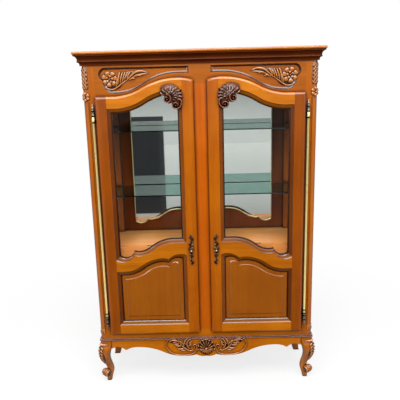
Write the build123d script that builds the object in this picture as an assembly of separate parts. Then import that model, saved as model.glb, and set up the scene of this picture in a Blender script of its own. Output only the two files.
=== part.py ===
from build123d import *
import os
from math import atan, cos, sin, radians

# Two-door display cabinet in the Louis XV manner, in millimetres.
# +Z is up, -Y is the front, and the origin is the bottom centre of the whole object.

# Driving dimensions of the case
post_width = 56
post_depth = 45
post_tongue = 24
post_corner_radius = 24
quirk_radius = 2.5
column_foot = 52
column_head = 166
rail_thickness = 24
mullion_reveal = 64
mullion_lap = 18
hinge_margin = 2
case_depth = 330
rear_post_width = 110
rear_post_depth = 34
side_thickness = 24
side_inset = 2
side_rail_height = 95
side_panel_thickness = 12
groove_depth = 8
back_thickness = 8
back_inset = 6

# Driving dimensions of the base
leg_height = 240
leg_block = 56
rear_leg_depth = 44
rear_foot_depth = 34
foot_roll_radius = 16
foot_roll_level = 49
foot_roll_reach = 42
foot_rib_width = 11
foot_rib_swell = 3
apron_thickness = 22
apron_depth = 40
side_apron_rise = 14
apron_bracket_drop = 48
apron_high_run = 32
apron_high_drop = 37.5
apron_cusp_run = 73
apron_cusp_drop = 57
apron_crest_run = 140
apron_crest_drop = 41
apron_low_half = 118
apron_low_drop = 97
apron_valley_half = 52
apron_valley_drop = 90
apron_lobe_drop = 99
seat_height = 12
seat_overhang = 5
seat_width = 46
seat_groove_depth = 3.5
sill_reveal = 31

# Driving dimensions of the doors
door_width = 460
door_corner_height = 1211
door_rise = 80
door_inner_drop = 11
arch_shoulder = 82
arch_crown = 73
door_thickness = 21
door_gap = 1
door_lap = 18
door_edge = 10
door_edge_depth = 7
stile_face = 53
top_rail_face = 55
bottom_rail_face = 54
middle_rail_low = 346
middle_rail_face = 59
middle_rail_rise = 86
glass_head_rise = 82
glass_shoulder = 40
glass_crown = 30
glass_cusp_run = 93
glass_cusp_rise = 26
glass_level_run = 64
glass_foot_dip = 9
panel_shoulder = 39
panel_crest_run = 119
panel_crest_rise = 67
panel_cusp_run = 92
panel_cusp_rise = 62
panel_head_rise = 82
sticking_width = 23
sticking_lip = 1.8
rebate_width = 8
glass_thickness = 4
bead_thickness = 4
panel_thickness = 9
panel_margin = 24
panel_field_rise = 2.5
panel_bevel = 4
shelf_clearance = 1

# Driving dimensions of the top
frieze_reveal = 62
cornice_height = 50
cornice_overhang = 33
top_overhang = 5
top_thickness = 14
top_corner_radius = 6
recess_depth = 8
recess_cove = 10
recess_margin = 10
recess_end_set = 19
recess_over_peak = 20
recess_low_run = 100
recess_low_rise = 13
recess_cusp_run = 39
recess_cusp_rise = 74
recess_lobe_run = 54

# Driving dimensions of the inside
deck_height = 745
deck_thickness = 20
deck_step_half = 290
deck_step_set = 6
deck_rail_height = 82
shelf_heights = (1004, 1325)
shelf_thickness = 6
shelf_front_set = 2
shelf_pin_diameter = 6
shelf_pin_length = 24
shelf_pin_set = 40
mirror_thickness = 4
mirror_half_width = 376
mirror_top = 1540
mirror_low = 797
mirror_rise = 65
mirror_cusp_run = 72
mirror_cusp_rise = 13
mirror_level_half = 130
mirror_foot_dip = 10
bottom_thickness = 18

# Driving dimensions of the ironmongery
hinge_axis_out = 14
hinge_axis_forward = 14
tube_diameter = 10
knuckle_diameter = 12
knuckle_length = 28
hinge_pin_diameter = 5
running_clearance = 0.05
knuckle_gap = 0.4
finial_length = 30
leaf_thickness = 2
leaf_bury = 20
leaf_set = 1
hinge_top_below_corner = 64
hinge_bottom_above_corner = 62
handle_reach = 20
handle_height = 160
handle_width = 24
handle_plate = 2.5
handle_level = 455
handle_off_centre = 4
lock_width = 26
lock_depth = 12
lock_height = 60
lock_set = 2

# Driving dimensions of the carving
corner_carving_size = 100
corner_carving_relief = 6
corner_carving_bed = 3
scroll_eye_radius = 9
scroll_eye_proud = 2
rosette_radius = 37
rosette_run = 72
rosette_rise = 77
petal_relief = 7
frieze_spray_length = 200
frieze_leaf_relief = 6
shell_radius = 30
shell_ray_radius = 13
shell_drop = 43
apron_carving_relief = 8
apron_spray_length = 162
apron_spray_set = 44

# Places that follow from the sizes above
post_inner = mullion_reveal / 2 + door_width + hinge_margin
case_half = post_inner + post_width
door_in = mullion_reveal / 2
door_out = door_in + door_width
overall_depth = handle_reach + door_thickness + door_gap + case_depth
y_back = overall_depth / 2
y_front = y_back - case_depth
y_door_back = y_front - door_gap
y_door = y_door_back - door_thickness
case_bottom = leg_height + seat_height
door_bottom = case_bottom + sill_reveal
door_corner = door_bottom + door_corner_height
door_peak = door_corner + door_rise
door_inner_corner = door_peak - door_inner_drop
cornice_bottom = door_peak + frieze_reveal
case_top = cornice_bottom + cornice_height
overall_height = case_top + top_thickness
y_post_back = y_front + post_depth
y_rear_post = y_back - rear_post_depth
y_panel = y_back - back_inset - back_thickness
y_mirror = y_panel - mirror_thickness
axis_x = door_out + hinge_axis_out
axis_y = y_front - hinge_axis_forward
mullion_half = door_in + mullion_lap
opening_x = (-(door_out - stile_face), -(door_in + stile_face))
middle_low = door_bottom + middle_rail_low


def block(x, y, z):
    """A board given by its (low, high) pairs."""
    size = [high - low for low, high in (x, y, z)]
    middle = [(high + low) / 2 for low, high in (x, y, z)]
    return Pos(*middle) * Box(*size)


def upright(face, y_near, thickness):
    """An outline drawn in x and z, as a board whose front lies at y_near."""
    return extrude(Pos(0, y_near + thickness, 0) * (Plane.XZ * face), amount=thickness)


def turned_to_right(solid):
    """The right-hand twin of a left-hand piece."""
    return mirror(solid, about=Plane.YZ)


def swell(start, end, inset=0, share=0.45):
    """An S of two tangent arcs, level at both ends, moved inwards by inset along its normal."""
    run = end[0] - start[0]
    rise = end[1] - start[1]
    heading = 1 if run > 0 else -1
    slope = 2 * atan(abs(rise / run))
    lean = 1 if rise * run > 0 else -1
    middle = (
        start[0] + share * run + inset * lean * sin(slope),
        start[1] + share * rise - inset * cos(slope),
    )
    first = (start[0], start[1] - inset)
    last = (end[0], end[1] - inset)
    return [
        TangentArc(first, middle, tangent=(heading, 0)),
        TangentArc(last, middle, tangent=(-heading, 0)),
    ]


def tapered(outline, y_near, profile):
    """A solid whose outline changes from one (inset, depth) step of the profile to the next."""
    steps = []
    for (inset, depth), (next_inset, next_depth) in zip(profile, profile[1:]):
        if inset == next_inset:
            steps.append(upright(outline(inset), y_near + depth, next_depth - depth))
        else:
            near = Pos(0, y_near + depth, 0) * (Plane.XZ * outline(inset))
            far = Pos(0, y_near + next_depth, 0) * (Plane.XZ * outline(next_inset))
            steps.append(loft([near, far], ruled=True))
    solid = steps[0]
    for step in steps[1:]:
        solid += step
    return solid


# Shaped outlines

def arch_edge(inset=0, side=0):
    """The shaped top edge of the left door, lowered by inset and drawn in by side at its two ends."""
    flat_end = (-door_out + arch_shoulder, door_corner)
    peak = (-door_in - arch_crown, door_peak)
    fall = 0.27 * door_inner_drop
    return (
        [Line((-door_out + side, door_corner - inset), (flat_end[0], door_corner - inset))]
        + swell(flat_end, peak, inset)
        + [ThreePointArc(
            (peak[0], peak[1] - inset),
            (peak[0] + 0.55 * arch_crown, peak[1] - fall - inset),
            (-door_in - side, door_inner_corner - inset),
        )]
    )


def door_outline(inset):
    """The left door's outline with its edges moved inwards."""
    left, right = -door_out + inset, -door_in - inset
    foot = door_bottom + inset
    return make_face(
        [Line((left, foot), (left, door_corner - inset))]
        + arch_edge(inset, inset)
        + [Line((right, door_inner_corner - inset), (right, foot)), Line((right, foot), (left, foot))]
    )


def cusped_rise(start, cusp, end, dip, inset):
    """A dip, a cusp and a swell up to the level end, moved upwards by inset."""
    run = cusp[0] - start[0]
    hollow = (cusp[0] + 0.19 * run, cusp[1] - 0.055 * run)
    return [
        ThreePointArc(
            (start[0] + inset, start[1] + inset),
            ((start[0] + cusp[0]) / 2 + inset / 2, start[1] - dip + inset),
            (cusp[0], cusp[1] + inset),
        ),
        ThreePointArc(
            (cusp[0], cusp[1] + inset),
            (cusp[0] + 0.097 * run, cusp[1] - 0.038 * run + inset),
            (hollow[0], hollow[1] + inset),
        ),
    ] + swell(hollow, end, -inset)


def glass_outline(inset):
    """The upper opening of the left door, between the shaped rails."""
    left, right = opening_x
    head = door_corner - top_rail_face
    head_high = head + glass_head_rise
    flat_end = (left + glass_shoulder, head)
    peak = (right - glass_crown, head_high)
    foot = (left, middle_low + middle_rail_face)
    cusp = (left + glass_cusp_run, foot[1] + glass_cusp_rise)
    level = (right - glass_level_run, foot[1] + middle_rail_rise)
    return make_face(
        [Line((left + inset, foot[1] + inset), (left + inset, head - inset))]
        + [Line((left + inset, head - inset), (flat_end[0], head - inset))]
        + swell(flat_end, peak, inset)
        + [Line((peak[0], head_high - inset), (right - inset, head_high - inset))]
        + [Line((right - inset, head_high - inset), (right - inset, level[1] + inset))]
        + [Line((right - inset, level[1] + inset), (level[0], level[1] + inset))]
        + cusped_rise(foot, cusp, level, glass_foot_dip, inset)
    )


def panel_outline(inset):
    """The lower opening of the left door, under the shaped middle rail."""
    left, right = opening_x
    foot = door_bottom + bottom_rail_face + inset
    flat_end = (left + panel_shoulder, middle_low)
    crest = (right - panel_crest_run, middle_low + panel_crest_rise)
    cusp = (right - panel_cusp_run, middle_low + panel_cusp_rise)
    top_right = (right, middle_low + panel_head_rise)
    crest_run = cusp[0] - crest[0]
    return make_face(
        [Line((left + inset, foot), (left + inset, middle_low - inset))]
        + [Line((left + inset, middle_low - inset), (flat_end[0], middle_low - inset))]
        + swell(flat_end, crest, inset)
        + [ThreePointArc(
            (crest[0], crest[1] - inset),
            (crest[0] + 0.52 * crest_run, crest[1] - 0.037 * crest_run - inset),
            (cusp[0], cusp[1] - inset),
        )]
        + [ThreePointArc(
            (cusp[0], cusp[1] - inset),
            (cusp[0] + (panel_cusp_run - inset) / 2, top_right[1] + 0.05 * panel_head_rise - inset),
            (top_right[0] - inset, top_right[1] - inset),
        )]
        + [Line((top_right[0] - inset, top_right[1] - inset), (right - inset, foot))]
        + [Line((right - inset, foot), (left + inset, foot))]
    )


def recess_outline(inset):
    """The sunk carved field on the left of the frieze, with its lobed outer end."""
    right = -door_in - recess_end_set - inset
    top = cornice_bottom - recess_margin - inset
    low_end = (-door_out + recess_low_run, door_corner + recess_low_rise)
    high_end = (-door_in - arch_crown, door_peak + recess_over_peak)
    cusp = (-door_out + recess_cusp_run, door_corner + recess_cusp_rise)
    lobe_top = (-door_out + recess_lobe_run, top)
    lobe_run = low_end[0] - cusp[0]
    lobe_rise = cusp[1] - low_end[1]
    upper_rise = cornice_bottom - recess_margin - cusp[1]
    return make_face(
        [Line(lobe_top, (right, top)), Line((right, top), (right, high_end[1] + inset))]
        + [Line((right, high_end[1] + inset), (high_end[0], high_end[1] + inset))]
        + swell(high_end, low_end, -inset, share=0.55)
        + [ThreePointArc(
            (low_end[0], low_end[1] + inset),
            (low_end[0] - 0.85 * lobe_run + inset, low_end[1] + 0.36 * lobe_rise + inset),
            (cusp[0] + inset, cusp[1]),
        )]
        + [ThreePointArc(
            (cusp[0] + inset, cusp[1]),
            (cusp[0] - 0.3 * lobe_run + inset, cusp[1] + 0.46 * upper_rise),
            lobe_top,
        )]
    )


# The base: four legs, three aprons, a rear rail and the beaded seat frame

def cabriole_front_leg():
    """The left front leg, curved alike on both faces, with a ribbed scroll foot."""
    # Share of the height, then as shares of the block: inner face, outer face, and corner rounding
    stations = (
        (1.00, 0.00, 1.00, 0.06),
        (0.93, 0.00, 1.02, 0.08),
        (0.86, 0.02, 1.12, 0.20),
        (0.79, 0.07, 1.21, 0.28),
        (0.72, 0.18, 1.24, 0.33),
        (0.60, 0.27, 1.17, 0.36),
        (0.47, 0.22, 0.97, 0.38),
        (0.33, 0.08, 0.75, 0.40),
        (0.22, 0.05, 0.72, 0.40),
        (0.10, 0.19, 0.75, 0.40),
        (0.00, 0.29, 0.75, 0.40),
    )
    sections = []
    for share, inner, outer, rounding in stations:
        width = (outer - inner) * leg_block
        centre = (inner + outer) * leg_block / 2
        place = Pos(-post_inner - centre, y_front + leg_block - centre, share * leg_height)
        sections.append(place * RectangleRounded(width, width, width * rounding))
    leg = loft(sections)
    return leg + scroll_foot()


def scroll_foot():
    """The ribbed roll that curls outwards on the diagonal at the front of each foot."""
    rib_count = 4
    middle_ribs = (1, 2)
    half = rib_count * foot_rib_width / 2
    crowns = [(-half, foot_roll_radius)]
    for rib in range(rib_count):
        left = -half + rib * foot_rib_width
        swelling = foot_rib_swell * (1.5 if rib in middle_ribs else 1)
        crowns += [
            (left + foot_rib_width / 2, foot_roll_radius + swelling),
            (left + foot_rib_width, foot_roll_radius),
        ]
    profile = [
        Line((-half, 0), (-half, foot_roll_radius)),
        Spline(*crowns),
        Line((half, foot_roll_radius), (half, 0)),
        Line((half, 0), (-half, 0)),
    ]
    roll = revolve(make_face(profile), axis=Axis.X)
    place = Pos(-post_inner - foot_roll_reach, y_front + leg_block - foot_roll_reach, foot_roll_level)
    return place * Rot(0, 0, -45) * roll


def rear_leg():
    """The left rear leg, curved on its outer side only and flat at the back."""
    # Share of the height, then the inner and the outer face as shares of the block
    stations = ((1.0, 0, 1.0), (0.72, 0.04, 1.04), (0.5, 0.14, 0.96), (0.3, 0.11, 0.82), (0.0, 0.25, 0.82))
    sections = []
    for share, inner, outer in stations:
        depth = rear_foot_depth + (rear_leg_depth - rear_foot_depth) * share
        centre = -post_inner - (inner + outer) * leg_block / 2
        place = Pos(centre, y_back - depth / 2, share * leg_height)
        sections.append(place * RectangleRounded((outer - inner) * leg_block, depth, 0.09 * depth))
    return loft(sections)


def apron_outline():
    """The front apron: a bracket and a cusp by each leg, a long swell and a lobe under the shell."""
    top = leg_height
    spring = (-post_inner, top - apron_bracket_drop)
    high = (-post_inner + apron_high_run, top - apron_high_drop)
    cusp = (-post_inner + apron_cusp_run, top - apron_cusp_drop)
    crest = (-post_inner + apron_crest_run, top - apron_crest_drop)
    low = (-apron_low_half, top - apron_low_drop)
    valley = (-apron_valley_half, top - apron_valley_drop)
    lobe = (0, top - apron_lobe_drop)
    bracket_middle = (high[0] - 0.6 * apron_high_run, high[1] - 0.33 * (high[1] - spring[1]))
    fall_middle = (high[0] + 0.54 * (cusp[0] - high[0]), high[1] - 0.36 * (high[1] - cusp[1]))
    rise_middle = (cusp[0] + 0.51 * (crest[0] - cusp[0]), crest[1] - 0.12 * (crest[1] - cusp[1]))
    low_middle = (0.55 * low[0] + 0.45 * valley[0], low[1] + 0.05 * (valley[1] - low[1]))
    left_edge = (
        [Line((0, top), (-post_inner, top)), Line((-post_inner, top), spring)]
        + [ThreePointArc(spring, bracket_middle, high)]
        + [ThreePointArc(high, fall_middle, cusp)]
        + [ThreePointArc(cusp, rise_middle, crest)]
        + swell(crest, low, share=0.55)
        + [ThreePointArc(low, low_middle, valley)]
        + [ThreePointArc(valley, (0.54 * valley[0], lobe[1]), lobe)]
    )
    half = make_face(left_edge + [Line(lobe, (0, top))])
    return half + mirror(half, about=Plane.YZ)


def side_apron():
    """The left side apron between front and rear leg, with a plain swept lower edge."""
    front = y_front + leg_block
    rear = y_back - rear_leg_depth
    low = leg_height - apron_depth
    outline = make_face([
        Line((front, leg_height), (rear, leg_height)),
        Line((rear, leg_height), (rear, low)),
        ThreePointArc((rear, low), ((front + rear) / 2, low + side_apron_rise), (front, low)),
        Line((front, low), (front, leg_height)),
    ])
    board = extrude(Plane.YZ * outline, amount=apron_thickness)
    return Pos(-case_half + side_inset, 0, 0) * board


def seat_section():
    """The seat frame's section, as distance from the nose and height: two beads with a groove between."""
    bead = 0.36 * seat_height
    reach = 0.45 * bead
    upper = seat_height - bead
    return make_face([
        Line((seat_width, 0), (reach, 0)),
        ThreePointArc((reach, 0), (0, bead / 2), (reach, bead)),
        Line((reach, bead), (seat_groove_depth, bead)),
        Line((seat_groove_depth, bead), (seat_groove_depth, upper)),
        Line((seat_groove_depth, upper), (reach, upper)),
        ThreePointArc((reach, upper), (0, upper + bead / 2), (reach, seat_height)),
        Line((reach, seat_height), (seat_width, seat_height)),
        Line((seat_width, seat_height), (seat_width, 0)),
    ])


def seat_frame():
    """The mitred frame with a half-round nose between the base and the case."""
    half = case_half + seat_overhang
    nose = y_front - seat_overhang
    mitre = extrude(
        make_face(Polyline(
            (-half - 1, nose - 1), (half + 1, nose - 1),
            (half - seat_width, nose + seat_width), (-half + seat_width, nose + seat_width),
            (-half - 1, nose - 1),
        )),
        amount=overall_height,
    )
    front = extrude(Plane.YZ * seat_section(), amount=half, both=True)
    front = Pos(0, nose, leg_height) * front & mitre
    side = Pos(-half, 0, leg_height) * upright(seat_section(), nose, y_back - nose) - mitre
    rear = block(
        (-half + seat_width, half - seat_width), (y_back - seat_width, y_back), (leg_height, case_bottom)
    )
    return [front, rear, side, turned_to_right(side)]


# The case

def front_post():
    """The left front post: rounded outer corner, a column between quirks, lapped for the rails."""
    column_bottom = case_bottom + column_foot
    column_top = cornice_bottom - column_head
    outer = -case_half
    inner = -post_inner + post_tongue
    turn = outer + post_corner_radius
    sagitta = post_corner_radius * (1 - cos(radians(45)))
    section = make_face([
        Line((inner, y_front), (turn, y_front)),
        ThreePointArc(
            (turn, y_front), (outer + sagitta, y_front + sagitta), (outer, y_front + post_corner_radius),
        ),
        Line((outer, y_front + post_corner_radius), (outer, y_post_back)),
        Line((outer, y_post_back), (inner, y_post_back)),
        Line((inner, y_post_back), (inner, y_front)),
    ])
    post = extrude(Pos(0, 0, case_bottom) * section, amount=case_top - case_bottom)
    quirk = Cylinder(quirk_radius, column_top - column_bottom)
    quirk_level = (column_top + column_bottom) / 2
    post -= Pos(turn + quirk_radius, y_front, quirk_level) * quirk
    post -= Pos(outer, y_front + post_corner_radius + quirk_radius, quirk_level) * quirk
    lap = (-post_inner, inner)
    post -= block(lap, (y_front, y_front + rail_thickness), (door_corner - door_lap, case_top))
    post -= block(lap, (y_front, y_front + rail_thickness), (case_bottom, door_bottom + door_lap))
    return post


def frieze_rail():
    """The arched rail over both doors, with its two sunk fields."""
    corner = door_corner - door_lap
    middle = door_inner_corner - door_lap
    half = make_face(
        arch_edge(door_lap)
        + [
            Line((-door_out, corner), (-post_inner, corner)),
            Line((-post_inner, corner), (-post_inner, case_top)),
            Line((-post_inner, case_top), (0, case_top)),
            Line((0, case_top), (0, middle)),
            Line((0, middle), (-door_in, middle)),
        ]
    )
    rail = upright(half + mirror(half, about=Plane.YZ), y_front, rail_thickness)
    cove = (
        (0, 0), (0.2 * recess_cove, 0.34 * recess_depth), (0.5 * recess_cove, 0.7 * recess_depth),
        (recess_cove, recess_depth),
    )
    sunk = tapered(recess_outline, y_front, cove)
    return rail - sunk - turned_to_right(sunk)


def side_rails():
    """The upper and lower rails of the left side, grooved for the panel."""
    front, rear = y_post_back, y_rear_post
    x = (-case_half + side_inset, -case_half + side_inset + side_thickness)
    groove = side_panel_place()
    upper = block(x, (front, rear), (case_top - cornice_height - side_rail_height, case_top)) - groove
    lower = block(x, (front, rear), (case_bottom, case_bottom + side_rail_height)) - groove
    return [upper, lower]


def side_panel_place():
    """The left side panel, which runs into the rails' grooves."""
    start = -case_half + side_inset + (side_thickness - side_panel_thickness) / 2
    return block(
        (start, start + side_panel_thickness),
        (y_post_back, y_rear_post),
        (
            case_bottom + side_rail_height - groove_depth,
            case_top - cornice_height - side_rail_height + groove_depth,
        ),
    )


def display_deck():
    """The deck board, whose front edge steps forward over the rail behind the doors."""
    low = deck_height - deck_thickness
    side = case_half - side_inset - side_thickness
    deck = block((-side, side), (y_post_back, y_rear_post), (low, deck_height))
    deck += block(
        (-deck_step_half, deck_step_half),
        (y_front + rail_thickness + deck_step_set, y_post_back),
        (low, deck_height),
    )
    deck += block(
        (-case_half + rear_post_width, case_half - rear_post_width),
        (y_rear_post, y_panel),
        (low, deck_height),
    )
    return deck


def deck_rail():
    """The rail across the front under and before the deck, behind the doors' middle rails."""
    x_end = post_inner - post_tongue
    rail = block(
        (-x_end, x_end),
        (y_front + rail_thickness, y_post_back),
        (deck_height - deck_rail_height, deck_height),
    )
    return rail - display_deck()


def mirror_plate():
    """The mirror: straight sides, a cusped and swelling lower edge."""
    cusp = (-mirror_half_width + mirror_cusp_run, mirror_low + mirror_cusp_rise)
    level = (-mirror_level_half, mirror_low + mirror_rise)
    half = make_face(
        cusped_rise((-mirror_half_width, mirror_low), cusp, level, mirror_foot_dip, 0)
        + [
            Line(level, (0, level[1])),
            Line((0, level[1]), (0, mirror_top)),
            Line((0, mirror_top), (-mirror_half_width, mirror_top)),
            Line((-mirror_half_width, mirror_top), (-mirror_half_width, mirror_low)),
        ]
    )
    return upright(half + mirror(half, about=Plane.YZ), y_mirror, mirror_thickness)


def shelf_pins():
    """Eight pins in the side panels, four under each glass shelf."""
    wall = -case_half + side_inset + (side_thickness + side_panel_thickness) / 2
    pins = []
    for level in shelf_heights:
        for y in (y_post_back + shelf_pin_set, y_rear_post - shelf_pin_set):
            pin = Rot(0, 90, 0) * Cylinder(shelf_pin_diameter / 2, shelf_pin_length)
            z = level - shelf_thickness - shelf_pin_diameter / 2
            left = Pos(wall + shelf_pin_length / 2 - groove_depth, y, z) * pin
            pins += [left, turned_to_right(left)]
    return pins


def cornice_section():
    """The cornice moulding: fillet, ogee, bead, cove and top fillet, as overhang and height."""
    def at(out, up):
        return out * (cornice_overhang - top_overhang), cornice_bottom + up * cornice_height
    return make_face([
        Line(at(0, 0), at(0.14, 0)),
        Line(at(0.14, 0), at(0.14, 0.10)),
        ThreePointArc(at(0.14, 0.10), at(0.21, 0.22), at(0.39, 0.30)),
        ThreePointArc(at(0.39, 0.30), at(0.52, 0.36), at(0.46, 0.44)),
        ThreePointArc(at(0.46, 0.44), at(0.57, 0.72), at(0.93, 0.88)),
        Line(at(0.93, 0.88), at(1, 0.88)),
        Line(at(1, 0.88), at(1, 1)),
        Line(at(1, 1), at(0, 1)),
        Line(at(0, 1), at(0, 0)),
    ])


def cornice_front():
    half = case_half + cornice_overhang
    nose = y_front - cornice_overhang
    bar = extrude(Plane.YZ * mirror(cornice_section(), about=Plane.YZ), amount=half, both=True)
    mitred = extrude(
        make_face(Polyline(
            (-half, nose), (half, nose), (case_half, y_front), (-case_half, y_front), (-half, nose),
        )),
        amount=overall_height,
    )
    return Pos(0, y_front, 0) * bar & mitred


def cornice_side():
    half = case_half + cornice_overhang
    nose = y_front - cornice_overhang
    bar = upright(mirror(cornice_section(), about=Plane.YZ), nose, y_back - nose)
    mitred = extrude(
        make_face(Polyline(
            (-half, nose), (-case_half, y_front), (-case_half, y_back), (-half, y_back), (-half, nose),
        )),
        amount=overall_height,
    )
    return Pos(-case_half, 0, 0) * bar & mitred


def top_board():
    """The top board with a rounded nose on its front and sides."""
    half = case_half + cornice_overhang
    nose = y_front - cornice_overhang
    board = block((-half, half), (nose, y_back), (case_top, overall_height))
    corners = [edge for edge in board.edges().filter_by(Axis.Z) if edge.center().Y < 0]
    board = fillet(corners, radius=top_corner_radius)
    middle = case_top + top_thickness / 2
    rim = [edge for edge in board.edges() if edge.center().Y < y_back - top_corner_radius / 2]
    rim = [edge for edge in rim if abs(edge.center().Z - middle) > top_thickness / 4]
    return fillet(rim, radius=top_thickness * 0.42)


# One door, drawn as the left one

def door_frame():
    """The whole frame of the left door before it is divided into stiles and rails."""
    edge = (
        (door_edge, 0), (door_edge * 0.35, door_edge_depth * 0.35),
        (0, door_edge_depth), (0, door_thickness),
    )
    frame = tapered(door_outline, y_door, edge)
    # A steep quirk, a narrow flat, a step down to a long low ogee and a last small bead, as shares
    steps = (
        (0.00, 0.00), (0.13, 0.30), (0.26, 0.36), (0.30, 0.62), (0.48, 0.66), (0.65, 0.78),
        (0.80, 0.95), (1.00, 1.00),
    )
    lip_depth = door_thickness - glass_thickness - bead_thickness - sticking_lip
    sticking = [(across * sticking_width, down * lip_depth) for across, down in steps]
    sticking.append((sticking_width, door_thickness))
    frame -= tapered(glass_outline, y_door, sticking)
    frame -= tapered(panel_outline, y_door, sticking)
    seat = sticking_width - rebate_width
    rebate_depth = glass_thickness + bead_thickness
    frame -= upright(glass_outline(seat), y_door_back - rebate_depth, rebate_depth)
    frame -= upright(panel_outline(seat), y_door_back - panel_thickness, panel_thickness)
    return frame


def region(*points):
    """A thick prism over a closed run of points in x and z, used to part the frame at its joints."""
    face = make_face(Polyline(*points, points[0]))
    return upright(face, y_door - door_thickness, 3 * door_thickness)


def rail_regions():
    """The top, middle and bottom rails' shares of the frame, mitred at the mouldings."""
    left, right = opening_x
    reach = 2 * sticking_width
    above = door_peak + reach
    below = door_bottom - reach
    head_left = door_corner - top_rail_face
    head_right = head_left + glass_head_rise
    glass_foot_left = middle_low + middle_rail_face
    glass_foot_right = glass_foot_left + middle_rail_rise
    panel_head_right = middle_low + panel_head_rise
    panel_foot = door_bottom + bottom_rail_face
    top = region(
        (left, above), (right, above), (right, head_right), (right - reach, head_right - reach),
        (left + reach, head_left - reach), (left, head_left),
    )
    middle = region(
        (left, glass_foot_left), (left + reach, glass_foot_left + reach),
        (right - reach, glass_foot_right + reach), (right, glass_foot_right),
        (right, panel_head_right), (right - reach, panel_head_right - reach),
        (left + reach, middle_low - reach), (left, middle_low),
    )
    bottom = region(
        (left, panel_foot), (left + reach, panel_foot + reach), (right - reach, panel_foot + reach),
        (right, panel_foot), (right, below), (left, below),
    )
    return top, middle, bottom


def glazing_beads():
    """Four beads behind the glass, mitred at the corners."""
    seat = sticking_width - rebate_width
    ring = upright(glass_outline(seat), y_door_back - bead_thickness, bead_thickness)
    ring -= upright(glass_outline(sticking_width), y_door_back - bead_thickness, bead_thickness)
    top, middle, _ = rail_regions()
    sides = ring - top - middle
    return [ring & top, ring & middle] + list(sides.solids())


def door_panel():
    """The lower panel with its bevelled and raised field, held in the frame's rebate."""
    seat = sticking_width - rebate_width
    y_face = y_door_back - panel_thickness
    board = upright(panel_outline(seat + shelf_clearance), y_face, panel_thickness)
    field_inset = sticking_width + panel_margin
    field = tapered(
        panel_outline, y_face - panel_field_rise,
        ((field_inset, 0), (field_inset - panel_bevel, panel_field_rise)),
    )
    return board + field


def corner_carving():
    """The massing of the leaf and twin-scroll carving on the glass's upper inner corner."""
    corner = (opening_x[1], door_corner - top_rail_face + glass_head_rise)
    thickness = corner_carving_relief + corner_carving_bed

    def at(back, up):
        return corner[0] - back * corner_carving_size, corner[1] + up * corner_carving_size
    outline = make_face([
        ThreePointArc(at(1.00, -0.08), at(0.76, 0.19), at(0.34, 0.22)),
        ThreePointArc(at(0.34, 0.22), at(0.06, 0.02), at(0.04, -0.40)),
        ThreePointArc(at(0.04, -0.40), at(0.08, -0.86), at(0.34, -0.88)),
        ThreePointArc(at(0.34, -0.88), at(0.50, -0.72), at(0.46, -0.60)),
        ThreePointArc(at(0.46, -0.60), at(0.66, -0.62), at(0.76, -0.42)),
        ThreePointArc(at(0.76, -0.42), at(0.78, -0.22), at(1.00, -0.08)),
    ])
    body = upright(outline, y_door - corner_carving_relief, thickness)
    eye_length = thickness + scroll_eye_proud
    eye = Rot(90, 0, 0) * Cylinder(scroll_eye_radius, eye_length)
    for x, z in (at(0.64, -0.42), at(0.30, -0.73)):
        body += Pos(x, y_door + corner_carving_bed - eye_length / 2, z) * eye
    return body


def handle():
    """The upright cast escutcheon with its central knob."""
    x = -door_in - stile_face / 2 - handle_off_centre
    z = door_bottom + handle_level

    def at(out, up):
        return out * handle_width / 2, up * handle_height / 2
    right_half = make_face([
        ThreePointArc(at(0, 1), at(0.55, 0.86), at(0.3, 0.66)),
        ThreePointArc(at(0.3, 0.66), at(0.8, 0.45), at(0.45, 0.24)),
        ThreePointArc(at(0.45, 0.24), at(1, 0), at(0.45, -0.24)),
        ThreePointArc(at(0.45, -0.24), at(0.8, -0.45), at(0.3, -0.66)),
        ThreePointArc(at(0.3, -0.66), at(0.55, -0.86), at(0, -1)),
        Line(at(0, -1), at(0, 1)),
    ])
    plate = upright(right_half + mirror(right_half, about=Plane.YZ), -handle_plate, handle_plate)
    reach = handle_reach - handle_plate
    neck = handle_width / 4
    stem = [
        Line((0, 0), (neck, 0)),
        Spline((neck, 0), (0.53 * neck, reach * 0.3), (1.08 * neck, reach * 0.72), (neck / 2, reach)),
        Line((neck / 2, reach), (0, reach)),
        Line((0, reach), (0, 0)),
    ]
    knob = Rot(90, 0, 0) * turned(stem)
    return Pos(x, y_door, z) * (plate + Pos(0, -handle_plate, 0) * knob)


def door_lock():
    """The rim lock on the back of the closing stile, with its bolt drawn in."""
    x = -mullion_half - lock_set - lock_width
    z = door_bottom + handle_level
    return block(
        (x, x + lock_width),
        (y_door_back, y_door_back + lock_depth),
        (z - lock_height / 2, z + lock_height / 2),
    )


# Hinges, drawn for the left door

def turned(profile):
    """A turned piece from a profile of radius and height."""
    return revolve(Plane.XZ * make_face(profile), axis=Axis.Z)


def finial_and_knuckle(up):
    """A case half: knuckle, finial and pin, with the pin pointing towards the door's half."""
    radius = knuckle_diameter / 2

    def at(out, along):
        return out * radius, knuckle_length + along * finial_length
    profile = [
        Line((0, 0), (radius, 0)),
        Line((radius, 0), at(1, 0)),
        Line(at(1, 0), at(0.5, 0.17)),
        Spline(at(0.5, 0.17), at(1, 0.33), at(0.43, 0.53), at(0.57, 0.73), at(0.17, 1)),
        Line(at(0.17, 1), at(0, 1)),
        Line(at(0, 1), (0, 0)),
    ]
    pin = Pos(0, 0, -knuckle_length / 2) * Cylinder(hinge_pin_diameter / 2, knuckle_length)
    piece = turned(profile) + pin
    return piece if up else Rot(180, 0, 0) * piece


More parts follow.
